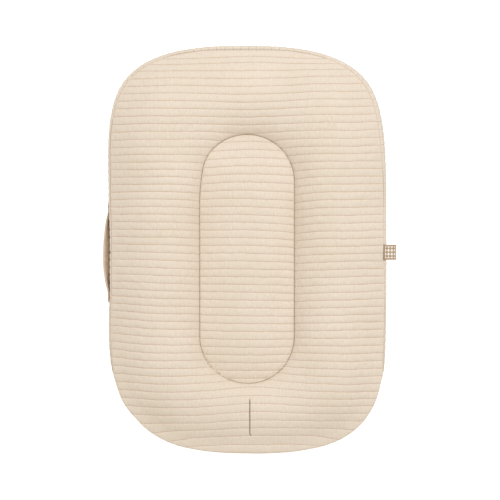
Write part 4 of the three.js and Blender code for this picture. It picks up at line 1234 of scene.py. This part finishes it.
class LOUNGER_OT_seat_cover(Operator):
    """Sew the seat's quilted inset, a long panel with round ends"""

    bl_idname = "lounger.seat_cover"
    bl_label = "Seat cover"

    def execute(self, context):
        sizes = context.scene.lounger_quilt
        radius = SEAT_HALF_WIDTH + SEAM_OVERLAP
        reach = SEAT_STRAIGHT + radius
        number, place = np.array(SEAT_LINES).T
        ends = np.array([SEAT_MIDDLE - reach, SEAT_MIDDLE + reach]) / MM
        last, first = np.interp(ends, place[::-1], number[::-1])
        lines = channel_steps(first, last, CHANNEL_SHARES, SEAT_FINE_LINES)
        steps = crowded(SEAT_COLUMNS, *SEAT_CROWDS)
        piece, column, row = new_grid("seat_cover", len(steps), len(lines))
        line = lines[::-1][row]
        straight = np.interp(line, number, place) * MM
        across = steps[column]
        fade = 1 - (np.abs(straight - SEAT_MIDDLE) / reach) ** SEAT_FADE_POWER
        y = straight + fade * (self.bend(across, straight) + ring_drift(across * radius, straight))
        beyond = np.maximum(np.abs(y - SEAT_MIDDLE) - SEAT_STRAIGHT, 0)
        x = across * np.sqrt(np.maximum(radius**2 - beyond**2, 0))
        gap = seat_distance(x, y)
        z = seat_height(x, y) - TUCK_DEPTH * smooth(SEAT_TUCK_START, SEAM_OVERLAP, gap)
        base = np.stack([x, y, z], 1)
        outwards = leaning_normals(base, column, row, smooth(*SEAT_NORMAL_SPAN, -gap))
        fullness = between(SEAM_PUFF_SHARE, 1, smooth(0, SEAM_PUFF_REACH, -gap))
        uneven = 1 + SEAT_UNEVEN_SHARE * soft_noise(x, y, SEAT_UNEVEN_GRAIN, RNG_SEED + 8)
        height = sizes.seat_puff * fullness * (uneven * puff(line, sizes.roundness) - 1)
        height = height + puckers(x, y, line, -gap, RNG_SEED + 9)
        base = base + outwards * height[:, None]
        sewn = (np.abs(line - np.rint(line)) < HELD_SHARE) | (gap > -HELD_REACH)
        keep_rows = nearest_rows(lines[::-1], PRESSED_SHARES, 0, SEAT_LAST_LINE)
        base = base + press_cloth("pressed_seat", base, column, row, sewn.astype(float), keep_rows)
        base[:, 0] += lean(x, y)
        write_points(piece, base)
        # Painted shade along the seat's seam.
        set_cloth(piece, x, line, caught(line) * bell(gap, SEAM_WIDTH))
        close_poles(piece)
        thicken(piece, sizes.cloth_thickness)
        finish_piece(piece, material("quilted_jersey"))
        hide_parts("seat_panel")
        return {"FINISHED"}

    def bend(self, across, y):
        """How far the channels' ends droop or rise from their middles."""
        left = np.interp(y / MM, *np.array(SEAT_LEFT_ENDS).T)
        right = np.interp(y / MM, *np.array(SEAT_RIGHT_ENDS).T)
        return np.where(across < 0, left, right) * MM * np.abs(across) ** SEAT_BEND_POWER


class LOUNGER_OT_side_bands(Operator):
    """Sew the side wall in two lengths with upright channels"""

    bl_idname = "lounger.side_bands"
    bl_label = "Side bands"

    def execute(self, context):
        self.make_band(context, "side_band_head", "side_wall_head", BAND_HEAD[0][1], 1)
        self.make_band(context, "side_band_foot", "side_wall_foot", BAND_FOOT[1][1], -1)
        return {"FINISHED"}

    def make_band(self, context, node, name, seam_y, side):
        sizes = context.scene.lounger_quilt
        walk, edge_x, edge_y = self.run(seam_y, side)
        count = round(walk[-1] / sizes.band_pitch)
        lines = channel_steps(0, count, BAND_SHARES)
        turn = np.concatenate([np.linspace(0, 1, BAND_ROWS), UNDER_TURNS])
        piece, column, row = new_grid(name, len(lines), len(turn))
        line, share = lines[column], turn[row]
        place = line / count * walk[-1]
        x0, y0 = np.interp(place, walk, edge_x), np.interp(place, walk, edge_y)
        ahead_x = np.interp(place + MM, walk, edge_x) - np.interp(place - MM, walk, edge_x)
        ahead_y = np.interp(place + MM, walk, edge_y) - np.interp(place - MM, walk, edge_y)
        size = np.hypot(ahead_x, ahead_y)
        out_x, out_y = ahead_y / size, -ahead_x / size
        # The wall rises from the underside in a full curve and turns in almost level at the top seam.
        up = (1 - np.cos(math.pi * np.minimum(share, 1))) / 2
        under = np.maximum(share - 1, 0) / (turn[-1] - 1)
        top_inset = seam_inset(y0)
        shoulder = np.maximum(1 - np.abs(2 * up - 1) ** WALL_SQUARENESS, 0) ** (1 / WALL_SQUARENESS)
        seam_line = between(BAND_FOOT_INSET, top_inset, up)
        inset = seam_line * (1 - shoulder) + FOOT_TUCK * smooth(*FOOT_TUCK_SPAN, -y0)
        z = between(BAND_BOTTOM, rim_height(y0), up) - RIM_TUCK * smooth(TUCK_START_SHARE, 1, up)
        z = z - UNDER_DROP * under
        fullness = between(EDGE_PUFF_SHARE, 1, shoulder)
        uneven = 1 + BAND_UNEVEN_SHARE * soft_noise(place, z, BAND_UNEVEN_GRAIN, RNG_SEED + 12)
        height = sizes.band_puff * fullness * (uneven * puff(line, sizes.roundness) - 1)
        at_end = np.abs(np.minimum(place, walk[-1] - place) - BAND_OVERLAP)
        height = height - JOIN_DIP * bell(at_end, JOIN_WIDTH)
        out = height + band_stand(x0, y0) * shoulder - inset - UNDER_REACH * under
        aside = spread(x0, y0) * smooth(0, BAND_SPREAD_SHARE, up) + lean(x0, y0) * up**BAND_LEAN_POWER
        aside = aside + top_slip(x0, y0) * up**BAND_SLIP_POWER
        write_points(piece, np.stack([x0 + out_x * out + aside, y0 + out_y * out, z], 1))
        # Painted shade along the rim seam and where the band's two lengths join.
        from_seam = np.where(up > 0.5, (1 - shoulder) * top_inset, BELOW_SEAM)
        seam = rim_seam_shade(x0, y0, from_seam - top_inset)
        set_cloth(piece, z, line, seam + JOIN_SHADE_SHARE * bell(at_end, SEAM_WIDTH))
        recalculate(piece)
        thicken(piece, sizes.cloth_thickness)
        finish_piece(piece, material("quilted_jersey"))
        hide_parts(node)

    def run(self, seam_y, side):
        """The outline from one end of a band to its other end: distance walked and places."""
        x, y, _ = outline_points(BAND_POINTS)
        inside = (y - seam_y) * side > -BAND_OVERLAP
        start = np.flatnonzero(inside & ~np.roll(inside, 1))[0]
        order = (start + np.arange(inside.sum())) % len(inside)
        x, y = x[order], y[order]
        walk = np.concatenate([[0], np.cumsum(np.hypot(np.diff(x), np.diff(y)))])
        return walk, x, y


class LOUNGER_OT_underside(Operator):
    """Cut the two lining panels of the underside, with a sewn hem on each side of the zip"""

    bl_idname = "lounger.underside"
    bl_label = "Underside"

    def execute(self, context):
        self.make_panel("base_panel_head", "underside_head", 1)
        self.make_panel("base_panel_foot", "underside_foot", -1)
        return {"FINISHED"}

    def make_panel(self, node, name, side):
        low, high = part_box(node)
        zip_y = low[1] if side > 0 else high[1]
        end_y = side * (HALF_LENGTH - BAND_FOOT_INSET)
        turn = np.linspace(0, 1, UNDER_ROWS)
        rows = zip_y + (end_y - zip_y) * turn**UNDER_ZIP_POWER * (1 - (1 - turn) ** UNDER_EDGE_POWER)
        steps = crowded(UNDER_COLUMNS, *UNDER_CROWDS)
        piece, column, row = new_grid(name, len(steps), len(rows))
        y = rows[row] if side > 0 else rows[::-1][row]
        x = steps[column] * half_width_at(y, BAND_FOOT_INSET)
        from_edge = np.maximum(outline_distance(x, y) - BAND_FOOT_INSET, 0)
        at_zip = np.abs(y - zip_y)
        roll = (1 - smooth(0, UNDER_ROLL, from_edge)) ** UNDER_ROLL_POWER
        # The cloth rises to the zip's tape, so the zip lies in a shallow valley.
        valley = (1 - smooth(0, HEM_WIDTH, at_zip)) * smooth(0, VALLEY_FADE, from_edge)
        lying = smooth(0, RIPPLE_FADE, from_edge) * smooth(0, RIPPLE_FADE, at_zip)
        ripple = RIPPLE * (1 + soft_noise(x * RIPPLE_STRETCH, y, RIPPLE_GRAIN, RNG_SEED + 20)) * lying
        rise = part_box("zip_tape_head")[0][2] - TAPE_OVERLAP
        z = UNDER_CLOTH + BASE_TOP * UNDER_ROLL_SHARE * roll + ripple * (1 - roll)
        z = z + rise * valley * (1 - roll)
        write_points(piece, np.stack([x, y, z], 1))
        set_cloth(piece, x, y / CLOTH_LINE, np.zeros_like(x))
        close_poles(piece)
        thicken(piece, UNDER_CLOTH)
        recalculate(piece)
        finish_piece(piece, material("lining"))
        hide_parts(node)
        reach = float(half_width_at(np.array(zip_y), BAND_FOOT_INSET)) - HEM_END
        for index, inset in enumerate(HEM_STITCHES):
            lift = rise * (1 - smooth(0, HEM_WIDTH, inset))
            row_of_stitches(f"{name}_hem_{index}", reach, zip_y + side * inset, lift)


def row_of_stitches(name, reach, y, z):
    """A straight row of stitches on the underside, from one side to the other."""
    stitch = new_stitch((STITCH_HALF_LENGTH, STITCH_HALF_WIDTH, HEM_STITCH_HEIGHT))
    stitch.name = name
    stitch.location = (-reach, y, z)
    array = stitch.modifiers.new("run", "ARRAY")
    array.use_relative_offset = False
    array.use_constant_offset = True
    array.constant_offset_displace = (STITCH_PITCH, 0, 0)
    array.count = int(2 * reach / STITCH_PITCH)
    apply_modifiers(stitch)
    bpy.ops.object.transform_apply(location=True, rotation=True, scale=True)
    finish_piece(stitch, material("thread"))


class LOUNGER_OT_zip_cloth(Operator):
    """Weave the zip's two tapes and the flaps that close the underside beyond its ends"""

    bl_idname = "lounger.zip_cloth"
    bl_label = "Zip tapes and flaps"

    def execute(self, context):
        for node in ("zip_tape_head", "zip_tape_foot"):
            self.make_strip(node, node + "_cloth", "zip_tape", 0.0, *TAPE_GRID)
        for node in ("zip_garage_closed", "zip_garage_open"):
            self.make_strip(node, node + "_flap", "lining", FLAP_FULLNESS, *FLAP_GRID)
        return {"FINISHED"}

    def make_strip(self, node, name, slot, fullness, columns, rows):
        """A woven strip with turned edges, in the place of its node."""
        low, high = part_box(node)
        piece, column, row = new_grid(name, columns, rows)
        across, along = column / (columns - 1), row / (rows - 1)
        x, y = between(low[0], high[0], across), between(low[1], high[1], along)
        edge = np.minimum(np.minimum(along, 1 - along) * (high[1] - low[1]),
                          np.minimum(across, 1 - across) * (high[0] - low[0]))
        turned = smooth(0, TURNED_EDGE, edge)
        # Its lower face is the one that shows, so it swells downwards.
        flatter = 1 - FLAP_FLAT_SHARE * smooth(*FLAP_FLAT_SPAN, edge)
        z = high[2] - STRIP_GAP - fullness * turned * flatter
        z = z - STRIP_RIPPLE * soft_noise(x, y, STRIP_GRAIN, RNG_SEED + 70) * turned
        write_points(piece, np.stack([x, y, z], 1))
        set_cloth(piece, x, y / CLOTH_LINE, np.zeros_like(x))
        thicken(piece, high[2] - low[2] - fullness - STRIP_THINNER)
        recalculate(piece)
        finish_piece(piece, material(slot))
        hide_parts(node)


class LOUNGER_OT_strap(Operator):
    """Sew the carrying strap to the left side, with its darker end patches and their stitches"""

    bl_idname = "lounger.strap"
    bl_label = "Carrying strap"

    def execute(self, context):
        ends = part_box("handle_end_foot")[0][1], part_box("handle_end_head")[1][1]
        middle = (ends[0] + ends[1]) / 2
        self.make_half("strap_head_half", middle, ends[1], middle, ("handle_grip", "handle_end_head"))
        self.make_half("strap_foot_half", ends[0], middle, middle, ("handle_end_foot",))
        for end in ("head", "foot"):
            self.make_patch("handle_patch_" + end, "strap_patch_" + end)
        return {"FINISHED"}

    def make_half(self, name, low_y, high_y, middle, nodes):
        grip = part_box("handle_grip")
        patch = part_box("handle_patch_head")
        half = (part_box("handle_end_head")[1][1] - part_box("handle_end_foot")[0][1]) / 2
        free = half - (patch[1][1] - patch[0][1])
        low_y = max(low_y, middle - free - STRAP_END)
        high_y = min(high_y, middle + free + STRAP_END)
        bottom, top = grip[0][2], grip[1][2]
        piece, column, row = new_grid(name, STRAP_COLUMNS, STRAP_ROWS)
        y = between(low_y, high_y, row / (STRAP_ROWS - 1))
        up = column / (STRAP_COLUMNS - 1)
        peak = middle - BOW_SHIFT
        reach = np.where(y > peak, free + BOW_SHIFT, free - BOW_SHIFT)
        bow = np.maximum(1 - ((y - peak) / reach) ** 2, 0) ** STRAP_BOW_POWER
        # The strap's lower edge stays near the wall, so its shaded inner face shows from above.
        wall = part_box("handle_end_head")[1][0] - STRAP_THICKNESS / 2
        out = wall - grip[0][0] - STRAP_THICKNESS / 2
        x = wall - out * bow * up + STRAP_STAND * bow * (1 - up)
        waves = soft_noise(y, up * STRAP_WAVE_HEIGHT, STRAP_WAVE_GRAIN, RNG_SEED + 30)
        x = x + STRAP_WAVE * waves * bow
        z = between(bottom + STRAP_TWIST * bow, top + STRAP_LIFT * bow, up)
        write_points(piece, np.stack([x, y, z], 1))
        at_stitches = np.minimum(up, 1 - up) * STRAP_WIDTH - STRAP_STITCHES
        set_cloth(piece, y, z / CLOTH_LINE, bell(at_stitches, STRAP_STITCH_WIDTH))
        solid = piece.modifiers.new("thickness", "SOLIDIFY")
        solid.thickness = STRAP_THICKNESS
        solid.offset = 0
        bevel = piece.modifiers.new("edges", "BEVEL")
        bevel.width = STRAP_EDGE
        bevel.segments = STRAP_EDGE_STEPS
        bevel.limit_method = "ANGLE"
        bevel.angle_limit = math.radians(STRAP_EDGE_ANGLE)
        apply_modifiers(piece)
        recalculate(piece)
        finish_piece(piece, material("webbing"), body=None)
        piece.data.materials.append(material("webbing_inside_painted_light"))
        # Inner faces below the selvedge take the lighter copy of the webbing, painted light in the shaded
        # trough by the wall.
        selvedge = top - SELVEDGE_SHARE * (top - bottom)
        for polygon in piece.data.polygons:
            inner = polygon.normal.x > INNER_NORMAL and polygon.center.z < selvedge
            polygon.material_index = 1 if inner else 0
        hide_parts(*nodes)
        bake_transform(piece)

    def make_patch(self, node, name):
        low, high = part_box(node)
        piece, column, row = new_grid(name, PATCH_COLUMNS, PATCH_ROWS)
        up, across = column / (PATCH_COLUMNS - 1), row / (PATCH_ROWS - 1)
        y, z = between(low[1], high[1], across), between(low[2], high[2], up)
        edge = np.minimum(np.minimum(across, 1 - across) * (high[1] - low[1]),
                          np.minimum(up, 1 - up) * (high[2] - low[2]))
        x = np.full_like(y, low[0] + PATCH_INSET) + PATCH_EDGE_DIP * (1 - smooth(0, PATCH_EDGE, edge))
        x = x + PATCH_GROOVE * bell(edge - PATCH_STITCHES, PATCH_GROOVE_WIDTH)
        write_points(piece, np.stack([x, y, z], 1))
        set_cloth(piece, y, z / CLOTH_LINE, np.zeros_like(y))
        thicken(piece, -HALF_WIDTH - low[0] - PATCH_INSET + PATCH_BACK)
        recalculate(piece)
        finish_piece(piece, material("tan_patch"))
        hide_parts(node)
        self.stitch_round(name + "_stitches", low, high)

    def stitch_round(self, name, low, high):
        """A box of stitches round a patch, each one a short plump thread."""
        left, right = low[1] + PATCH_STITCHES, high[1] - PATCH_STITCHES
        bottom, top = low[2] + PATCH_STITCHES, high[2] - PATCH_STITCHES
        corners = [(left, bottom), (right, bottom), (right, top), (left, top)]
        face = low[0] + PATCH_INSET + STITCH_LIFT
        made = []
        for (y0, z0), (y1, z1) in zip(corners, corners[1:] + corners[:1]):
            length = math.hypot(y1 - y0, z1 - z0)
            count = max(2, round(length / STITCH_PITCH))
            for index in range(count):
                share = (index + 0.5) / count
                if made:
                    stitch = made[0].copy()
                    stitch.data = made[0].data.copy()
                    bpy.context.collection.objects.link(stitch)
                else:
                    stitch = new_stitch((PATCH_STITCH_HEIGHT, STITCH_HALF_LENGTH, STITCH_HALF_WIDTH))
                stitch.location = (face, between(y0, y1, share), between(z0, z1, share))
                stitch.rotation_euler = (math.atan2(z1 - z0, y1 - y0), 0, 0)
                made.append(stitch)
        deselect()
        for stitch in made:
            stitch.select_set(True)
        bpy.context.view_layer.objects.active = made[0]
        bpy.ops.object.join()
        bpy.ops.object.transform_apply(location=True, rotation=True, scale=True)
        made[0].name = name
        finish_piece(made[0], material("thread"))


def new_stitch(radii):
    """One plump stitch with those half lengths along X, Y and Z."""
    deselect()
    bpy.ops.mesh.primitive_uv_sphere_add(segments=8, ring_count=6, radius=1)
    stitch = bpy.context.object
    stitch.scale = radii
    bpy.ops.object.transform_apply(location=False, rotation=False, scale=True)
    return stitch


class LOUNGER_OT_tab(Operator):
    """Fold the woven tab and sew it into the right seam"""

    bl_idname = "lounger.tab"
    bl_label = "Woven tab"

    def execute(self, context):
        low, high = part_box("side_tag")
        piece, column, row = new_grid("woven_tab", TAB_COLUMNS, TAB_ROWS)
        along = column / (TAB_COLUMNS - 1)
        y = between(low[1], high[1], along)
        # The ribbon runs from its lower end round the fold and back to its upper end.
        turn = (row / (TAB_ROWS - 1)) * 2 - 1
        fold = high[0] - TAB_FOLD_RADIUS - TAB_CUT
        fold_share = 1 / TAB_FOLD_PARTS
        angle = np.sign(turn) * np.clip(np.abs(turn) * TAB_FOLD_PARTS, 0, 1) * math.pi / 2
        flat = np.clip((np.abs(turn) - fold_share) / (1 - fold_share), 0, 1)
        rounded = fold + TAB_FOLD_RADIUS * np.cos(angle)
        x = np.where(np.abs(turn) < fold_share, rounded, between(fold, low[0], flat))
        middle = (low[2] + high[2]) / 2
        z = middle + np.sin(angle) * TAB_FOLD_RADIUS * (1 - TAB_CLOSER_SHARE * flat)
        out = (x - low[0]) / (high[0] - low[0])
        z = z - TAB_SAG * out**2 + TAB_CURL * (2 * along - 1) ** 2 * out
        x = x + TAB_SLANT * (along - 0.5)
        out = (x - low[0]) / (high[0] - low[0])
        z = z + TAB_RISE * (1 - out)
        write_points(piece, np.stack([x, y, z], 1))
        set_cloth(piece, along, out, np.zeros_like(y))
        solid = piece.modifiers.new("thickness", "SOLIDIFY")
        solid.thickness = TAB_THICKNESS
        solid.offset = 0
        apply_modifiers(piece)
        recalculate(piece)
        finish_piece(piece, material("tab_weave"))
        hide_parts("side_tag")
        return {"FINISHED"}


class LOUNGER_OT_wadding(Operator):
    """Fill the ring and the seat: loose wadding close under their covers"""

    bl_idname = "lounger.wadding"
    bl_label = "Wadding"

    def execute(self, context):
        self.fill_ring()
        self.fill_seat()
        return {"FINISHED"}

    def fill_ring(self):
        piece, column, row = new_grid("ring_wadding", WADDING_COLUMNS, WADDING_ROWS)
        across = crowded(WADDING_COLUMNS, *WADDING_CROWDS)[column]
        y = HALF_LENGTH * np.sin(np.linspace(-1, 1, WADDING_ROWS) * math.pi / 2)[row]
        inset = seam_inset(y) + WADDING_INSET
        y = y * (1 - inset / HALF_LENGTH)
        x = across * half_width_at(y, inset)
        from_edge = outline_distance(x, y)
        gap = seat_distance(x, y)
        tucked = TUCK_DEPTH * smooth(WADDING_GAP, -SEAM_OVERLAP, gap)
        z = ring_height(x, y, from_edge) - WADDING_DEPTH - tucked
        lumps = LUMPS * soft_noise(x, y, LUMP_GRAIN, RNG_SEED + 50)
        write_points(piece, np.stack([x + lean(x, y), y, z + lumps - LUMPS], 1))
        self.close_form(piece, np.minimum(z - core_top(y) - CORE_GAP, RING_FILL_DEPTH), gap < WADDING_GAP)
        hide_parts("ring_bolster")

    def fill_seat(self):
        piece, column, row = new_grid("seat_wadding", SEAT_WADDING_COLUMNS, SEAT_WADDING_ROWS)
        radius = SEAT_HALF_WIDTH - WADDING_GAP
        y = SEAT_MIDDLE + (SEAT_STRAIGHT + radius) * np.linspace(-1, 1, SEAT_WADDING_ROWS)[row]
        beyond = np.maximum(np.abs(y - SEAT_MIDDLE) - SEAT_STRAIGHT, 0)
        half = np.sqrt(np.maximum(radius**2 - beyond**2, 0))
        x = np.linspace(-1, 1, SEAT_WADDING_COLUMNS)[column] * half
        lumps = LUMPS * soft_noise(x, y, LUMP_GRAIN, RNG_SEED + 51)
        z = seat_height(x, y) - WADDING_DEPTH
        write_points(piece, np.stack([x + lean(x, y), y, z + lumps - LUMPS], 1))
        self.close_form(piece, np.full_like(z, SEAT_FILL_DEPTH), np.zeros(len(z), bool))
        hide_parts("seat_cushion")

    def close_form(self, piece, depth, hole):
        """Cuts the hole out and gives the filling its depth."""
        cut_hole(piece, hole)
        close_poles(piece)
        thicken(piece, float(np.median(depth)) / 2)
        finish_piece(piece, material("wadding"))


class LOUNGER_OT_inner_pieces(Operator):
    """Give the inner lining, the foam and the zip their finishes"""

    bl_idname = "lounger.inner_pieces"
    bl_label = "Inner pieces"

    def execute(self, context):
        slots = {part["node"]: part["material_slot"] for part in frame["record"]["subparts"]}
        for node, slot in slots.items():
            piece = bpy.data.objects[node]
            if piece.hide_render:
                continue
            piece.data.materials.clear()
            piece.data.materials.append(material(slot))
        return {"FINISHED"}


class LOUNGER_OT_stage(Operator):
    """Set the floor, the lamps and the camera straight above"""

    bl_idname = "lounger.stage"
    bl_label = "Stage"

    def execute(self, context):
        settings = context.scene.lounger_stage
        self.add_floor()
        self.add_lamps(context, settings)
        self.add_camera(context, settings)
        context.scene.view_settings.view_transform = "Standard"
        return {"FINISHED"}

    def add_floor(self):
        deselect()
        bpy.ops.mesh.primitive_plane_add(size=FLOOR_SIZE, location=(0, 0, -FLOOR_DROP))
        floor = bpy.context.object
        floor.name = "floor"
        floor_material, tree = new_material("white_sweep")
        path = add_node(tree, "ShaderNodeLightPath")
        seen = add_node(tree, "ShaderNodeMath", {
            0: (path, "Is Camera Ray"), 1: (path, "Is Glossy Ray")}, operation="ADD")
        all_seen = add_node(tree, "ShaderNodeMath", {
            0: (seen, 0), 1: (path, "Is Transmission Ray")}, operation="ADD", use_clamp=True)
        strength = add_node(tree, "ShaderNodeMath", {
            0: (all_seen, 0), 1: FLOOR_GLOW}, operation="MULTIPLY")
        paint = add_node(tree, "ShaderNodeBsdfDiffuse", {"Color": colour(FLOOR_PAINT)})
        glow = add_node(tree, "ShaderNodeEmission", {"Strength": (strength, 0)})
        both = add_node(tree, "ShaderNodeAddShader", {0: (paint, 0), 1: (glow, 0)})
        add_node(tree, "ShaderNodeOutputMaterial", {"Surface": (both, 0)})
        floor.data.materials.append(floor_material)

    def add_lamps(self, context, settings):
        world = bpy.data.worlds.new("plain_sky")
        world.use_nodes = True
        background = world.node_tree.nodes["Background"]
        background.inputs["Color"].default_value = colour(SKY_COLOUR)
        background.inputs["Strength"].default_value = settings.sky
        context.scene.world = world
        lamp = bpy.data.lights.new("soft_box", "AREA")
        lamp.energy = settings.key_power
        lamp.color = KEY_COLOUR
        lamp.size = SOFT_BOX_SIZE
        box = bpy.data.objects.new("soft_box", lamp)
        context.scene.collection.objects.link(box)
        box.location = SOFT_BOX_PLACE
        box.rotation_euler = Vector(SOFT_BOX_PLACE).to_track_quat("Z", "Y").to_euler()

    def add_camera(self, context, settings):
        camera_data = bpy.data.cameras.new("camera")
        camera_data.sensor_width = SENSOR_WIDTH
        distance = settings.camera_height - FRAMED_HEIGHT
        camera_data.lens = SENSOR_WIDTH * distance / (PICTURE_PIXELS * PIXEL_SIZE)
        camera = bpy.data.objects.new("camera", camera_data)
        context.scene.collection.objects.link(camera)
        camera.location = Vector(CAMERA_TARGET) + Vector((0, 0, settings.camera_height))
        context.scene.camera = camera


class LOUNGER_PT_panel(Panel):
    """Lists the pieces of the lounger"""

    bl_idname = "LOUNGER_PT_panel"
    bl_label = "Infant lounger"
    bl_space_type = "VIEW_3D"
    bl_region_type = "UI"
    bl_category = "Lounger"

    def draw(self, context):
        for step in STEPS:
            self.layout.operator(step)


OPERATORS = (
    LOUNGER_OT_ring_cover,
    LOUNGER_OT_seat_cover,
    LOUNGER_OT_side_bands,
    LOUNGER_OT_wadding,
    LOUNGER_OT_underside,
    LOUNGER_OT_zip_cloth,
    LOUNGER_OT_strap,
    LOUNGER_OT_tab,
    LOUNGER_OT_inner_pieces,
    LOUNGER_OT_stage,
)
STEPS = [operator.bl_idname for operator in OPERATORS]
CLASSES = (QuiltSizes, ClothColours, StageSettings, *OPERATORS, LOUNGER_PT_panel)


def register():
    for each in CLASSES:
        bpy.utils.register_class(each)
    bpy.types.Scene.lounger_quilt = PointerProperty(type=QuiltSizes)
    bpy.types.Scene.lounger_colours = PointerProperty(type=ClothColours)
    bpy.types.Scene.lounger_stage = PointerProperty(type=StageSettings)


def unregister():
    del bpy.types.Scene.lounger_quilt
    del bpy.types.Scene.lounger_colours
    del bpy.types.Scene.lounger_stage
    for each in reversed(CLASSES):
        bpy.utils.unregister_class(each)


def main():
    """Makes every piece in order."""
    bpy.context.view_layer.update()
    register()
    for step in STEPS:
        group, name = step.split(".")
        getattr(getattr(bpy.ops, group), name)()


if __name__ == "__main__":
    main()
